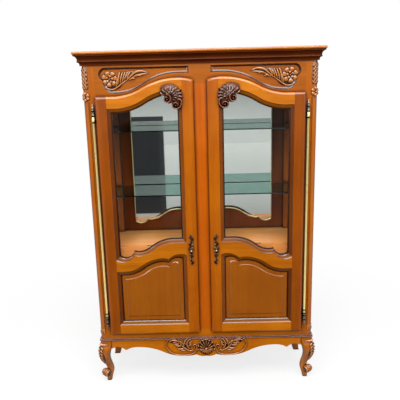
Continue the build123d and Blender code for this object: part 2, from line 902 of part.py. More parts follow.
def case_hinge_halves():
    """The two case halves of the left door's hinges, with their blades in the post."""
    halves = []
    top_joint = door_corner - hinge_top_below_corner - knuckle_length
    bottom_joint = door_bottom + hinge_bottom_above_corner + knuckle_length
    blade = (
        (-axis_x - leaf_thickness / 2, -axis_x + leaf_thickness / 2),
        (axis_y + hinge_pin_diameter / 2, y_front + leaf_bury),
    )
    for level, up in ((top_joint, True), (bottom_joint, False)):
        half = Pos(-axis_x, axis_y, level) * finial_and_knuckle(up)
        foot, head = (level, level + knuckle_length) if up else (level - knuckle_length, level)
        span = (foot + leaf_set, head - leaf_set)
        halves.append(half + block(*blade, span))
    return halves


def door_hinge():
    """The door halves: two bored knuckles with blades in the stile, and the brass tube between them."""
    top_joint = door_corner - hinge_top_below_corner - knuckle_length
    bottom_joint = door_bottom + hinge_bottom_above_corner + knuckle_length
    bore = hinge_pin_diameter / 2 + running_clearance
    pieces = []
    for level, down in ((top_joint - knuckle_gap, True), (bottom_joint + knuckle_gap, False)):
        low, high = (level - knuckle_length, level) if down else (level, level + knuckle_length)
        middle = (low + high) / 2
        knuckle = Pos(-axis_x, axis_y, middle) * Cylinder(knuckle_diameter / 2, knuckle_length)
        blade = block(
            (-axis_x, -door_out + leaf_bury),
            (axis_y - leaf_thickness / 2, axis_y + leaf_thickness / 2),
            (low + leaf_set, high - leaf_set),
        )
        knuckle += blade
        knuckle -= Pos(-axis_x, axis_y, middle) * Cylinder(bore, 2 * knuckle_length)
        pieces.append(knuckle)
    tube_low = bottom_joint + knuckle_gap + knuckle_length
    tube_high = top_joint - knuckle_gap - knuckle_length
    tube = Cylinder(tube_diameter / 2, tube_high - tube_low)
    pieces.append(Pos(-axis_x, axis_y, (tube_low + tube_high) / 2) * tube)
    return pieces


# Carving that is glued on

def frieze_carving():
    """The massing of the left rosette and its leaf spray, lying in the sunk field."""
    floor = y_front + recess_depth
    centre = (-door_out + rosette_run, door_corner + rosette_rise)
    petals = 7
    rosette = Cylinder(rosette_radius * 0.72, petal_relief)
    for turn in range(petals):
        angle = radians(360 * turn / petals)
        out = rosette_radius * 0.62
        rosette += Pos(out * cos(angle), out * sin(angle), 0) * Cylinder(rosette_radius * 0.38, petal_relief)
    rosette += Cylinder(rosette_radius * 0.26, petal_relief * 1.6)
    rosette = Pos(centre[0], floor - petal_relief / 2, centre[1]) * (Rot(90, 0, 0) * rosette)

    def at(along, up):
        return centre[0] + along * frieze_spray_length, centre[1] + up * frieze_spray_length
    leaf = make_face([
        ThreePointArc(at(0.11, -0.13), at(0.42, -0.03), at(0.57, 0.10)),
        ThreePointArc(at(0.57, 0.10), at(0.78, 0.07), at(1.00, 0.13)),
        ThreePointArc(at(1.00, 0.13), at(0.75, 0.195), at(0.54, 0.13)),
        ThreePointArc(at(0.54, 0.13), at(0.21, 0.10), at(0.14, 0.17)),
        ThreePointArc(at(0.14, 0.17), at(0.14, 0.00), at(0.11, -0.13)),
    ])
    return rosette + upright(leaf, floor - frieze_leaf_relief, frieze_leaf_relief)


def apron_carving():
    """The massing of the central shell and the two leaf sprays, over the apron."""
    relief = apron_carving_relief
    rays = 7
    shell = Cylinder(shell_radius, relief)
    for ray in range(rays):
        angle = radians(-30 + 240 * ray / (rays - 1))
        place = Pos(shell_radius * cos(angle), shell_radius * sin(angle), 0)
        shell += place * Cylinder(shell_ray_radius, relief)
    shell += Pos(0, -0.6 * shell_radius, 0) * Cylinder(0.6 * shell_radius, 1.75 * relief)
    shell = Pos(0, y_front - relief / 2, leg_height - shell_drop) * (Rot(90, 0, 0) * shell)
    shell -= block((-2 * shell_radius, 2 * shell_radius), (y_front, y_front + 2 * relief), (0, leg_height))

    def at(along, down):
        return -apron_spray_set - along * apron_spray_length, leg_height - down * apron_spray_length
    spray = make_face([
        ThreePointArc(at(0, 0.43), at(0.04, 0.235), at(0.16, 0.06)),
        ThreePointArc(at(0.16, 0.06), at(0.35, 0.135), at(0.44, 0.20)),
        ThreePointArc(at(0.44, 0.20), at(0.72, 0.037), at(1, 0.086)),
        ThreePointArc(at(1, 0.086), at(0.88, 0.185), at(0.65, 0.27)),
        ThreePointArc(at(0.65, 0.27), at(0.35, 0.48), at(0, 0.43)),
    ])
    leaf = upright(spray, y_front - 0.6 * relief, 0.6 * relief)
    return shell + leaf + turned_to_right(leaf)


# The nodes

def door_nodes():
    """Every node of the left door."""
    frame = door_frame()
    top, middle, bottom = rail_regions()
    stiles = (frame - top - middle - bottom).solids().sort_by(Axis.X)
    hinge_pieces = door_hinge()
    outer_stile = stiles[0]
    for piece in hinge_pieces:
        outer_stile -= piece
    seat = sticking_width - rebate_width + shelf_clearance
    pane_near = y_door_back - bead_thickness - glass_thickness
    return {
        "outer_stile": [outer_stile],
        "inner_stile": [stiles[-1]],
        "top_rail": [frame & top],
        "middle_rail": [frame & middle],
        "bottom_rail": [frame & bottom],
        "glass_pane": [upright(glass_outline(seat), pane_near, glass_thickness)],
        "lower_panel": [door_panel()],
        "glazing_beads": glazing_beads(),
        "corner_carving": [corner_carving() - frame],
        "pull_handle": [handle()],
        "rim_lock": [door_lock()],
        "hinge_tube": hinge_pieces,
    }


def case_nodes():
    """Every node of the fixed body."""
    side = case_half - side_inset - side_thickness
    leg = cabriole_front_leg()
    hind_leg = rear_leg()
    post = front_post()
    hinge_halves = case_hinge_halves()
    for half in hinge_halves:
        post -= half
    rails = side_rails()
    apron = side_apron() - leg - hind_leg
    crown = cornice_side()
    rail = frieze_rail()
    rosette = frieze_carving() - rail
    rear_post = block(
        (-case_half, -case_half + rear_post_width), (y_rear_post, y_back), (case_bottom, case_top)
    )
    back = block(
        (-case_half + rear_post_width - groove_depth, case_half - rear_post_width + groove_depth),
        (y_panel, y_panel + back_thickness),
        (case_bottom, case_top),
    )
    rear_post -= back
    panel = side_panel_place()
    mullion = block(
        (-mullion_half, mullion_half), (y_front, y_front + rail_thickness),
        (door_bottom + door_lap, door_inner_corner - door_lap),
    )
    mullion -= rail
    rear_rail = block(
        (-post_inner, post_inner), (y_back - apron_thickness, y_back), (leg_height - apron_depth, leg_height)
    )
    rear_rail -= hind_leg
    rear_rail -= turned_to_right(hind_leg)
    front_apron = upright(apron_outline(), y_front, apron_thickness) - leg
    front_apron -= turned_to_right(leg)
    pins = shelf_pins()
    for pin in pins:
        panel -= pin
    nodes = {
        "front_apron": [front_apron],
        "left_side_apron": [apron],
        "right_side_apron": [turned_to_right(apron)],
        "rear_base_rail": [rear_rail],
        "left_front_leg": [leg],
        "right_front_leg": [turned_to_right(leg)],
        "left_rear_leg": [hind_leg],
        "right_rear_leg": [turned_to_right(hind_leg)],
        "seat_frame": seat_frame(),
        "bottom_board": [block(
            (-side, side), (y_post_back, y_rear_post), (case_bottom, case_bottom + bottom_thickness)
        )],
        "sill_rail": [block(
            (-post_inner, post_inner),
            (y_front, y_front + rail_thickness),
            (case_bottom, door_bottom + door_lap),
        )],
        "left_front_post": [post],
        "right_front_post": [turned_to_right(post)],
        "left_rear_post": [rear_post],
        "right_rear_post": [turned_to_right(rear_post)],
        "left_side_panel": [panel],
        "right_side_panel": [turned_to_right(panel)],
        "left_side_rails": rails,
        "right_side_rails": [turned_to_right(rail) for rail in rails],
        "centre_mullion": [mullion],
        "frieze_rail": [rail],
        "back_panel": [back],
        "mirror_plate": [mirror_plate()],
        "display_deck": [display_deck()],
        "deck_rail": [deck_rail()],
        "top_board": [top_board()],
        "cornice_front": [cornice_front()],
        "left_cornice": [crown],
        "right_cornice": [turned_to_right(crown)],
        "shelf_pins": pins,
        "left_frieze_carving": [rosette],
        "right_frieze_carving": [turned_to_right(rosette)],
        "apron_carving": [apron_carving()],
        "hinge_finials": hinge_halves + [turned_to_right(half) for half in hinge_halves],
    }
    for name, level in zip(("lower_glass_shelf", "upper_glass_shelf"), shelf_heights):
        nodes[name] = [block(
            (-side + shelf_clearance, side - shelf_clearance),
            (y_post_back + shelf_front_set, y_rear_post - shelf_clearance),
            (level - shelf_thickness, level),
        )]
    return nodes


os.makedirs("parts", exist_ok=True)
nodes = case_nodes()
for name, pieces in door_nodes().items():
    nodes["left_door_" + name] = pieces
    nodes["right_door_" + name] = [turned_to_right(piece) for piece in pieces]
for name, pieces in nodes.items():
    solids = [solid for piece in pieces for solid in piece.solids()]
    export_step(solids[0] if len(solids) == 1 else Compound(solids), f"parts/{name}.step")
print(len(nodes), "nodes, height", overall_height, "depth", overall_depth)
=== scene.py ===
from math import acos, atan2, cos, exp, pi, radians, sin

import bmesh
import bpy
from mathutils import Matrix, Vector


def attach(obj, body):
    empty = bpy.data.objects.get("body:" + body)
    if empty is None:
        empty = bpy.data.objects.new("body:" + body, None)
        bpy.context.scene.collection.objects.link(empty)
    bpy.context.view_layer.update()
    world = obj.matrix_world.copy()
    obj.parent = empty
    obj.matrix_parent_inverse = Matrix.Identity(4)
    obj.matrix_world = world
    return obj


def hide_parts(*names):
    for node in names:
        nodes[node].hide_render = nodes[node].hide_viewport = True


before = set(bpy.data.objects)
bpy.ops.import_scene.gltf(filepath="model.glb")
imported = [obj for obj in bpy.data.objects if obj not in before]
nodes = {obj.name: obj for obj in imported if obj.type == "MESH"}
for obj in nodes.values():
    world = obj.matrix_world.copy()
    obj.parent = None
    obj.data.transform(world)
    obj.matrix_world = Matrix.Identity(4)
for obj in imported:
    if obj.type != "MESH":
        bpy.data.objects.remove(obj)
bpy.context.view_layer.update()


# The camera stands at eye height, a good two and a half metres in front, and looks
# slightly down on the cabinet, as the photograph was taken.

eye = Vector((0.0128, -2.690, 1.5995))
turn_left = radians(0.585)
look_down = radians(13.55)
tilt = radians(-1.472)
camera_data = bpy.data.cameras.new("camera")
camera_data.sensor_width = 36
camera_data.lens = 48.11
camera = bpy.data.objects.new("camera", camera_data)
camera.matrix_world = (
    Matrix.Translation(eye)
    @ Matrix.Rotation(turn_left, 4, "Z")
    @ Matrix.Rotation(pi / 2 - look_down, 4, "X")
    @ Matrix.Rotation(tilt, 4, "Z")
)
bpy.context.scene.collection.objects.link(camera)
bpy.context.scene.camera = camera


# The studio: a pale floor, a white room, and a large soft box overhead with a strip in front,
# which the top of every moulding mirrors. A weaker box stands at each side.

def hex_colour(text):
    """An sRGB hex value as a linear colour."""
    shares = [int(text[place:place + 2], 16) / 255 for place in (0, 2, 4)]
    linear = [share / 12.92 if share <= 0.04045 else ((share + 0.055) / 1.055) ** 2.4 for share in shares]
    return (*linear, 1)


def add(tree, kind, links=None, **settings):
    """A new node with its settings, and its inputs set to values or linked from sockets."""
    made = tree.nodes.new(kind)
    for name, value in settings.items():
        setattr(made, name, value)
    for socket, source in (links or {}).items():
        if isinstance(source, bpy.types.NodeSocket):
            tree.links.new(source, made.inputs[socket])
        else:
            made.inputs[socket].default_value = source
    return made


def seen_by(tree, in_gloss, in_mirror):
    """One where the camera looks, also through glass; other shares in gloss and in the mirror."""
    path = add(tree, "ShaderNodeLightPath")
    clear = add(tree, "ShaderNodeMath", {0: 0.5, 1: path.outputs["Diffuse Depth"]}, operation="GREATER_THAN")
    turned = add(tree, "ShaderNodeMath", {0: path.outputs["Glossy Depth"], 1: 0.5}, operation="GREATER_THAN")
    through_glass = add(tree, "ShaderNodeMath",
                        {0: path.outputs["Is Transmission Ray"], 1: clear.outputs[0]}, operation="MULTIPLY")
    behind_glass = add(tree, "ShaderNodeMapRange",
                       {"Value": turned.outputs[0], "To Min": 1.0, "To Max": in_mirror})
    glass = add(tree, "ShaderNodeMath",
                {0: through_glass.outputs[0], 1: behind_glass.outputs[0]}, operation="MULTIPLY")
    plain = add(tree, "ShaderNodeMath",
                {0: path.outputs["Is Camera Ray"], 1: glass.outputs[0]}, operation="MAXIMUM")
    shine = add(tree, "ShaderNodeMath", {0: path.outputs["Is Glossy Ray"], 1: in_gloss}, operation="MULTIPLY")
    seen = add(tree, "ShaderNodeMath", {0: plain.outputs[0], 1: shine.outputs[0]}, operation="MAXIMUM")
    return seen.outputs[0]


def gloss_to_the_sides(tree, direction, ahead, beside):
    """The room in gloss: dim ahead of the cabinet and behind it, and brighter at its two sides."""
    toward = add(tree, "ShaderNodeVectorMath", {0: direction}, operation="NORMALIZE").outputs["Vector"]
    across = add(tree, "ShaderNodeSeparateXYZ", {"Vector": toward}).outputs["X"]
    share = add(tree, "ShaderNodeMath", {0: across}, operation="ABSOLUTE")
    return add(tree, "ShaderNodeMapRange", {
        "Value": share.outputs[0], "From Min": 0.66, "From Max": 0.84, "To Min": ahead, "To Max": beside,
    }).outputs[0]


# The room is white where the camera looks, and dim ahead of the wood, so that its gloss stays deep.
room = bpy.data.worlds.new("studio_room")
room.use_nodes = True
room_tree = room.node_tree
room_tree.nodes.clear()
fill_below = 0.06
fill_above = 0.62
gloss_ahead = 0.02
gloss_beside = 0.2
gloss_above = 0.9
gloss_overhead = 2.5
direction = add(room_tree, "ShaderNodeTexCoord").outputs["Generated"]
height = add(room_tree, "ShaderNodeSeparateXYZ", {"Vector": direction}).outputs["Z"]
fill = add(room_tree, "ShaderNodeMapRange",
           {"Value": height, "From Min": -0.15, "From Max": 0.6, "To Min": fill_below, "To Max": fill_above})
level_gloss = gloss_to_the_sides(room_tree, direction, gloss_ahead, gloss_beside)
gloss = add(room_tree, "ShaderNodeMapRange", {
    "Value": height, "From Min": 0.05, "From Max": 0.6, "To Min": level_gloss, "To Max": gloss_above,
})
skylight = add(room_tree, "ShaderNodeMapRange",
               {"Value": height, "From Min": 0.80, "From Max": 0.95, "To Min": 0.0, "To Max": gloss_overhead})
gloss = add(room_tree, "ShaderNodeMath", {0: gloss.outputs[0], 1: skylight.outputs[0]}, operation="ADD")
far_wall = add(room_tree, "ShaderNodeMapRange",
               {"Value": height, "From Min": -0.10, "From Max": -0.02, "To Min": 0.85, "To Max": 0.28})
room_seen = seen_by(room_tree, gloss.outputs[0], far_wall.outputs[0])
brightness = add(room_tree, "ShaderNodeMapRange",
                 {"Value": room_seen, "To Min": fill.outputs[0], "To Max": 1.0})
backdrop = add(room_tree, "ShaderNodeBackground",
               {"Color": hex_colour("FFFFFF"), "Strength": brightness.outputs[0]})
add(room_tree, "ShaderNodeOutputWorld", {"Surface": backdrop.outputs[0]})
bpy.context.scene.world = room
bpy.context.scene.view_settings.view_transform = "Standard"

# Painted plywood: matt white to the eye, which fades into the room away from the cabinet,
# and duller for the light that it throws back up. Its roller marks are 11 mm apart.
roller_marks_per_metre = 90.0
floor_paint = bpy.data.materials.new("matt_painted_plywood")
floor_paint.use_nodes = True
floor_tree = floor_paint.node_tree
floor_tree.nodes.clear()
floor_place = add(floor_tree, "ShaderNodeTexCoord").outputs["Object"]
floor_gloss = gloss_to_the_sides(floor_tree, floor_place, 0.0, gloss_beside)
floor_reach = add(floor_tree, "ShaderNodeVectorMath", {0: floor_place}, operation="LENGTH").outputs["Value"]
floor_in_mirror = add(floor_tree, "ShaderNodeMapRange", {
    "Value": floor_reach, "From Min": 3.0, "From Max": 8.0, "To Min": 0.25, "To Max": 0.95,
})
floor_seen = seen_by(floor_tree, floor_gloss, floor_in_mirror.outputs[0])
floor_tone = add(floor_tree, "ShaderNodeMix", {
    "Factor": floor_seen, "A": hex_colour("2A2A2A"), "B": hex_colour("F2F2F2"),
}, data_type="RGBA")
floor_grain = add(floor_tree, "ShaderNodeTexNoise", {"Scale": roller_marks_per_metre, "Detail": 3.0})
floor_bump = add(floor_tree, "ShaderNodeBump", {"Height": floor_grain.outputs["Fac"], "Strength": 0.02})
floor_shader = add(floor_tree, "ShaderNodeBsdfPrincipled", {
    "Base Color": floor_tone.outputs["Result"], "Roughness": 0.9, "Specular IOR Level": 0.1,
    "Normal": floor_bump.outputs[0],
})
floor_white = add(floor_tree, "ShaderNodeEmission", {"Color": hex_colour("FFFFFF"), "Strength": 1.0})
floor_fade = add(floor_tree, "ShaderNodeMapRange",
                 {"Value": floor_reach, "From Min": 0.9, "From Max": 2.0, "To Min": 0.75, "To Max": 1.0})
floor_share = add(floor_tree, "ShaderNodeMath",
                  {0: floor_seen, 1: floor_fade.outputs[0]}, operation="MULTIPLY")
floor_look = add(floor_tree, "ShaderNodeMixShader",
                 {0: floor_share.outputs[0], 1: floor_shader.outputs[0], 2: floor_white.outputs[0]})
add(floor_tree, "ShaderNodeOutputMaterial", {"Surface": floor_look.outputs[0]})

floor_half = 9.0
sheet = bmesh.new()
bmesh.ops.create_grid(sheet, x_segments=1, y_segments=1, size=floor_half)
floor_mesh = bpy.data.meshes.new("floor")
sheet.to_mesh(floor_mesh)
sheet.free()
floor_mesh.materials.append(floor_paint)
floor = bpy.data.objects.new("floor", floor_mesh)
bpy.context.scene.collection.objects.link(floor)

soft_boxes = (
    ("overhead_soft_box", (0.0, -2.6, 5.2), (0.0, 0.0, 1.0), (4.6, 3.0), 215),
    ("front_strip_soft_box", (0.0, -5.3, 3.7), (0.0, 0.0, 1.1), (4.6, 1.2), 120),
    ("left_soft_box", (-3.0, -2.2, 2.2), (0.0, 0.0, 0.8), (1.2, 1.6), 22),
    ("right_soft_box", (3.2, -2.2, 2.2), (0.0, 0.0, 0.8), (1.0, 1.6), 16),
)
for name, place, target, size, power in soft_boxes:
    lamp_data = bpy.data.lights.new(name, "AREA")
    lamp_data.shape = "RECTANGLE"
    lamp_data.size, lamp_data.size_y = size
    lamp_data.energy = power
    lamp = bpy.data.objects.new(name, lamp_data)
    lamp.location = place
    lamp.visible_camera = False
    lamp.rotation_euler = (Vector(target) - Vector(place)).to_track_quat("-Z", "Y").to_euler()
    bpy.context.scene.collection.objects.link(lamp)


# The base: solid cherry, machined and sanded, stained honey brown and sprayed with
# glossy lacquer. The maker wiped a dark glaze into every hollow before the lacquer, and painted shade in the
# hollows darkens them further.

def lacquered_cherry(name, grain, pale, deep, glaze_and_shade="1E0700", reach=0.018, closed=0.45, open_from=0.93,
                     face=None, bands=(), opening_side=None, edges="D88838", shine=0.5, coat=0.9):
    """Stained cherry under lacquer: figure, fine pores, dark glaze with painted shade in hollows, and carved
    edges made lighter by wear and painted highlight.

    To the eye: warm orange brown with a soft, slow figure, wet gloss, and nearly black hollows.
    The bands are shares of darkening by depth in millimetres behind the face: dark glaze with painted shade
    in mouldings and sunk fields, and a dark joint on the deck.
    """
    figure_width = 0.022
    figure_length = 0.45
    clouds_per_metre = 5.0
    # Real pores are about 0.1 mm wide, too fine to show, so they are drawn twenty times as coarse.
    pore_width = 0.0022
    pore_length = 0.05
    glaze_depth_mm = 12
    finish = bpy.data.materials.new(name)
    finish.use_nodes = True
    tree = finish.node_tree
    tree.nodes.clear()
    places = add(tree, "ShaderNodeTexCoord").outputs["Object"]
    across = [1 / (figure_length if axis == grain else figure_width) for axis in "XYZ"]
    fine = [1 / (pore_length if axis == grain else pore_width) for axis in "XYZ"]
    figure_place = add(tree, "ShaderNodeMapping", {"Vector": places, "Scale": across})
    figure = add(tree, "ShaderNodeTexNoise", {
        "Vector": figure_place.outputs[0], "Scale": 1.0, "Detail": 5.0, "Roughness": 0.55, "Distortion": 0.4,
    })
    cloud = add(tree, "ShaderNodeTexNoise", {"Vector": places, "Scale": clouds_per_metre, "Detail": 2.0})
    pore_place = add(tree, "ShaderNodeMapping", {"Vector": places, "Scale": fine})
    pores = add(tree, "ShaderNodeTexNoise",
                {"Vector": pore_place.outputs[0], "Scale": 1.0, "Detail": 3.0, "Roughness": 0.6})
    both = add(tree, "ShaderNodeMath", {0: figure.outputs["Fac"], 1: cloud.outputs["Fac"]}, operation="ADD")
    spread = add(tree, "ShaderNodeMapRange",
                 {"Value": both.outputs[0], "From Min": 0.75, "From Max": 1.25})
    wood = add(tree, "ShaderNodeMix",
               {"Factor": spread.outputs[0], "A": hex_colour(deep), "B": hex_colour(pale)}, data_type="RGBA")
    pore_tone = add(tree, "ShaderNodeMapRange", {
        "Value": pores.outputs["Fac"], "From Min": 0.35, "From Max": 0.6, "To Min": 0.9, "To Max": 1.0,
    })
    stained = add(tree, "ShaderNodeMix",
                  {"Factor": 1.0, "A": wood.outputs["Result"], "B": pore_tone.outputs[0]},
                  data_type="RGBA", blend_type="MULTIPLY")
    # Where little open space surrounds a spot, it darkens: dark glaze with painted shade in the hollows.
    openness = add(tree, "ShaderNodeAmbientOcclusion", {"Distance": reach}, samples=8)
    hollow = add(tree, "ShaderNodeMapRange", {
        "Value": openness.outputs["AO"], "From Min": closed, "From Max": open_from,
        "To Min": 0.96, "To Max": 0.0,
    }).outputs[0]
    if bands:
        depth = add(tree, "ShaderNodeSeparateXYZ", {"Vector": places}).outputs["Y"]
        share = add(tree, "ShaderNodeMapRange",
                    {"Value": depth, "From Min": face, "From Max": face + glaze_depth_mm / 1000})
        ramp = add(tree, "ShaderNodeValToRGB", {"Fac": share.outputs[0]})
        for number, (millimetres, dark) in enumerate(bands):
            if number < 2:
                stop = ramp.color_ramp.elements[number]
                stop.position = millimetres / glaze_depth_mm
            else:
                stop = ramp.color_ramp.elements.new(millimetres / glaze_depth_mm)
            stop.color = (dark, dark, dark, 1)
        banded = ramp.outputs["Color"]
        if opening_side is not None:
            # The glaze and its painted shade keep to the edges that face the opening, and leave the outer
            # edges plain.
            mirrored = add(tree, "ShaderNodeVectorMath", {0: places}, operation="ABSOLUTE")
            away = add(tree, "ShaderNodeVectorMath",
                       {0: mirrored.outputs[0], 1: opening_side}, operation="SUBTRACT")
            level = add(tree, "ShaderNodeVectorMath",
                        {0: away.outputs[0], 1: (1, 0, 1)}, operation="MULTIPLY")
            side = add(tree, "ShaderNodeVectorMath", {0: places}, operation="SIGN")
            slope = add(tree, "ShaderNodeTexCoord").outputs["Normal"]
            facing = add(tree, "ShaderNodeVectorMath", {0: slope, 1: side.outputs[0]}, operation="MULTIPLY")
            outward = add(tree, "ShaderNodeVectorMath", {0: level.outputs[0], 1: facing.outputs[0]},
                          operation="DOT_PRODUCT")
            inward = add(tree, "ShaderNodeMath", {0: outward.outputs["Value"], 1: 0.0}, operation="LESS_THAN")
            kept = add(tree, "ShaderNodeMath", {0: banded, 1: inward.outputs[0]}, operation="MULTIPLY")
            banded = kept.outputs[0]
        hollow = add(tree, "ShaderNodeMath", {0: hollow, 1: banded}, operation="MAXIMUM").outputs[0]
    # Carved pieces carry a vertex value: a painted highlight with wear on their ridges, and painted shade at
    # their feet and on their dark grounds.
    carved = add(tree, "ShaderNodeAttribute", attribute_name="wear_and_painted_light").outputs["Fac"]
    ridge_light_share = add(tree, "ShaderNodeMapRange", {"Value": carved, "To Min": 0.0, "To Max": 0.8})
    wear_and_painted_light = add(tree, "ShaderNodeMix",
                 {"Factor": ridge_light_share.outputs[0], "A": stained.outputs["Result"], "B": hex_colour(edges)},
                 data_type="RGBA")
    hollow_darkening = add(tree, "ShaderNodeMapRange",
                 {"Value": carved, "From Min": 0.0, "From Max": -0.8, "To Min": 0.0, "To Max": 0.95})
    hollow = add(tree, "ShaderNodeMath", {0: hollow, 1: hollow_darkening.outputs[0]}, operation="MAXIMUM").outputs[0]
    glazed_and_shaded = add(tree, "ShaderNodeMix",
                 {"Factor": hollow, "A": wear_and_painted_light.outputs["Result"], "B": hex_colour(glaze_and_shade)}, data_type="RGBA")
    sheen = add(tree, "ShaderNodeMapRange", {"Value": figure.outputs["Fac"], "To Min": 0.20, "To Max": 0.30})
    relief = add(tree, "ShaderNodeBump",
                 {"Height": pores.outputs["Fac"], "Strength": 0.04, "Distance": 0.0003})
    shader = add(tree, "ShaderNodeBsdfPrincipled", {
        "Base Color": glazed_and_shaded.outputs["Result"], "Roughness": sheen.outputs[0], "Normal": relief.outputs[0],
        "Specular IOR Level": shine, "Coat Weight": coat, "Coat Roughness": 0.09,
    })
    add(tree, "ShaderNodeOutputMaterial", {"Surface": shader.outputs[0]})
    return finish


def dress(finish, *names):
    """A CAD node keeps its shape and takes the finish."""
    for name in names:
        mesh = nodes[name].data
        mesh.materials.clear()
        mesh.materials.append(finish)


def pair(name):
    """The names of the left and the right node."""
    return ["left_" + name, "right_" + name]


# Rails are paler than upright pieces, and the frame under the case is the darkest of the base.
cherry_level = lacquered_cherry("lacquered_cherry_grain_across", "X", "DE7E02", "C66A00")
cherry_upright = lacquered_cherry("lacquered_cherry_grain_upright", "Z", "CC6E02", "B65C00")
cherry_inwards = lacquered_cherry("lacquered_cherry_grain_front_to_back", "Y", "C87000", "B46000")
dress(cherry_level, "front_apron", "rear_base_rail")
cherry_frame = lacquered_cherry("lacquered_cherry_dark_frame", "X", "9A4E08", "803A04", shine=0.6)
dress(cherry_frame, "seat_frame")
dress(cherry_inwards, *pair("side_apron"))
dress(cherry_upright, *pair("rear_leg"))


# Front legs: cabriole legs sawn and shaped from solid cherry, with an acanthus leaf down
# the knee and a ribbed scroll at the foot, cut with gouges and glazed dark, with painted shade in their
# hollows.

def through(*points):
    """A smooth run through points, from nought at the first to one at the last."""
    spots = [Vector(point) for point in points]
    spots = [spots[0] * 2 - spots[1], *spots, spots[-1] * 2 - spots[-2]]

    def place(share):
        part = min(int(share * (len(spots) - 3)), len(spots) - 4)
        step = share * (len(spots) - 3) - part
        before, start, end, after = spots[part:part + 4]
        return 0.5 * (
            start * 2 + (end - before) * step + (before * 2 - start * 5 + end * 4 - after) * step ** 2
            + (start * 3 - before - end * 3 + after) * step ** 3
        )

    return place


def carve(work, path, width, height, lay, gouge=0.45, fullness=0.6, lean=1.0, rings=10, light=1.0):
    """One lobe or scroll, in millimetres: a closed bead along a path, hollowed along its back.

    The finish reads a vertex value: up to `light` on the ridges, a painted highlight with wear, and minus one
    at the foot, painted shade.
    """
    tone = work.verts.layers.float.get("wear_and_painted_light") or work.verts.layers.float.new("wear_and_painted_light")
    made = bmesh.ops.create_uvsphere(work, u_segments=14, v_segments=rings, radius=1)
    for vert in made["verts"]:
        share = acos(max(-1.0, min(1.0, vert.co.z))) / pi
        around = atan2(vert.co.y, vert.co.x)
        swell = sin(pi * share ** lean) ** fullness if 0 < share < 1 else 0
        ahead = path(min(share + 0.01, 1)) - path(max(share - 0.01, 0))
        ahead.normalize()
        spot = path(share)
        out = width / 2 * swell * cos(around)
        hollow = 1 - gouge * exp(-(cos(around) / 0.4) ** 2)
        rise = sin(around) * (hollow if around > 0 else 0.3)
        lift = height * swell ** 0.7 * rise
        vert[tone] = min(light, 3.0 * max(rise, 0) ** 1.5 - 1)
        vert.co = lay(spot.x - ahead.y * out, spot.y + ahead.x * out, lift)


def make_piece(work, name, finish, slot, body, *stands_for):
    """Closes the work into an object with its finish, on its body, in place of CAD nodes."""
    bmesh.ops.recalc_face_normals(work, faces=work.faces)
    mesh = bpy.data.meshes.new(name)
    work.to_mesh(mesh)
    mesh.shade_smooth()
    mesh.materials.append(finish)
    piece = bpy.data.objects.new(name, mesh)
    bpy.context.scene.collection.objects.link(piece)
    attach(piece, body)
    if stands_for:
        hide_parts(*stands_for)
    return piece


def make_twins(work, name, finish, slot, bodies, *stands_for):
    """The left piece, and its mirror image on the right, from work drawn in millimetres."""
    bmesh.ops.scale(work, vec=(0.001, 0.001, 0.001), verts=work.verts)
    for side, body in zip(("left_", "right_"), bodies):
        make_piece(work, side + name, finish, slot, body, *[side + node for node in stands_for])
        bmesh.ops.scale(work, vec=(-1, 1, 1), verts=work.verts)
    work.free()


both_on_case = ("case", "case")
carved_leg = lacquered_cherry("carved_lacquered_cherry_upright", "Z", "CC7204", "B05C02", glaze_and_shade="160400",
                              reach=0.012, closed=0.4, open_from=0.95, shine=0.7, coat=1.0)
leg_corner = Vector((-494, -88))
leg_run = through(
    (0, 56, 0.06, 240), (0, 57, 0.08, 223), (1, 63, 0.20, 206), (4, 68, 0.28, 190), (10, 69, 0.33, 173),
    (15, 65.5, 0.36, 144), (12, 54, 0.38, 113), (4.5, 42, 0.40, 79), (3, 40, 0.40, 53), (11, 42, 0.40, 24),
    (16, 42, 0.40, 0),
)


def leg_skin(share, angle, lift=0):
    """A point on the leg's rounded square section, and that far off it."""
    inner, outer, rounding, level = leg_run(share)
    power = (2 * rounding) ** 0.75
    half = (outer - inner) / 2 + lift
    middle = (outer + inner) / 2
    turn_x = abs(cos(angle)) ** power * (1 if cos(angle) > 0 else -1)
    turn_y = abs(sin(angle)) ** power * (1 if sin(angle) > 0 else -1)
    return leg_corner.x - middle + half * turn_x, leg_corner.y - middle + half * turn_y, level


def on_knee(along, level, lift):
    """Lays carving on the outer corner of the leg, by the distance round it and the height."""
    shares = [step / 60 for step in range(61)]
    share = min(shares, key=lambda part: abs(leg_run(part)[3] - level))
    half = (leg_run(share)[1] - leg_run(share)[0]) / 2
    x, y, _ = leg_skin(share, radians(225) + along / half, lift)
    return x, y, level


work = bmesh.new()
leg_rings = 48
leg_body = bmesh.ops.create_uvsphere(work, u_segments=48, v_segments=leg_rings, radius=1)
for vert in leg_body["verts"]:
    share = acos(max(-1.0, min(1.0, vert.co.z))) / pi
    around = atan2(vert.co.y, vert.co.x)
    if share in (0, 1) or abs(vert.co.x) + abs(vert.co.y) < 1e-6:
        inner, outer, _, level = leg_run(round(share))
        middle = (inner + outer) / 2
        vert.co = (leg_corner.x - middle, leg_corner.y - middle, level)
    else:
        step = (share * leg_rings - 1) / (leg_rings - 2)
        vert.co = leg_skin(max(0.0, min(1.0, step)), around)
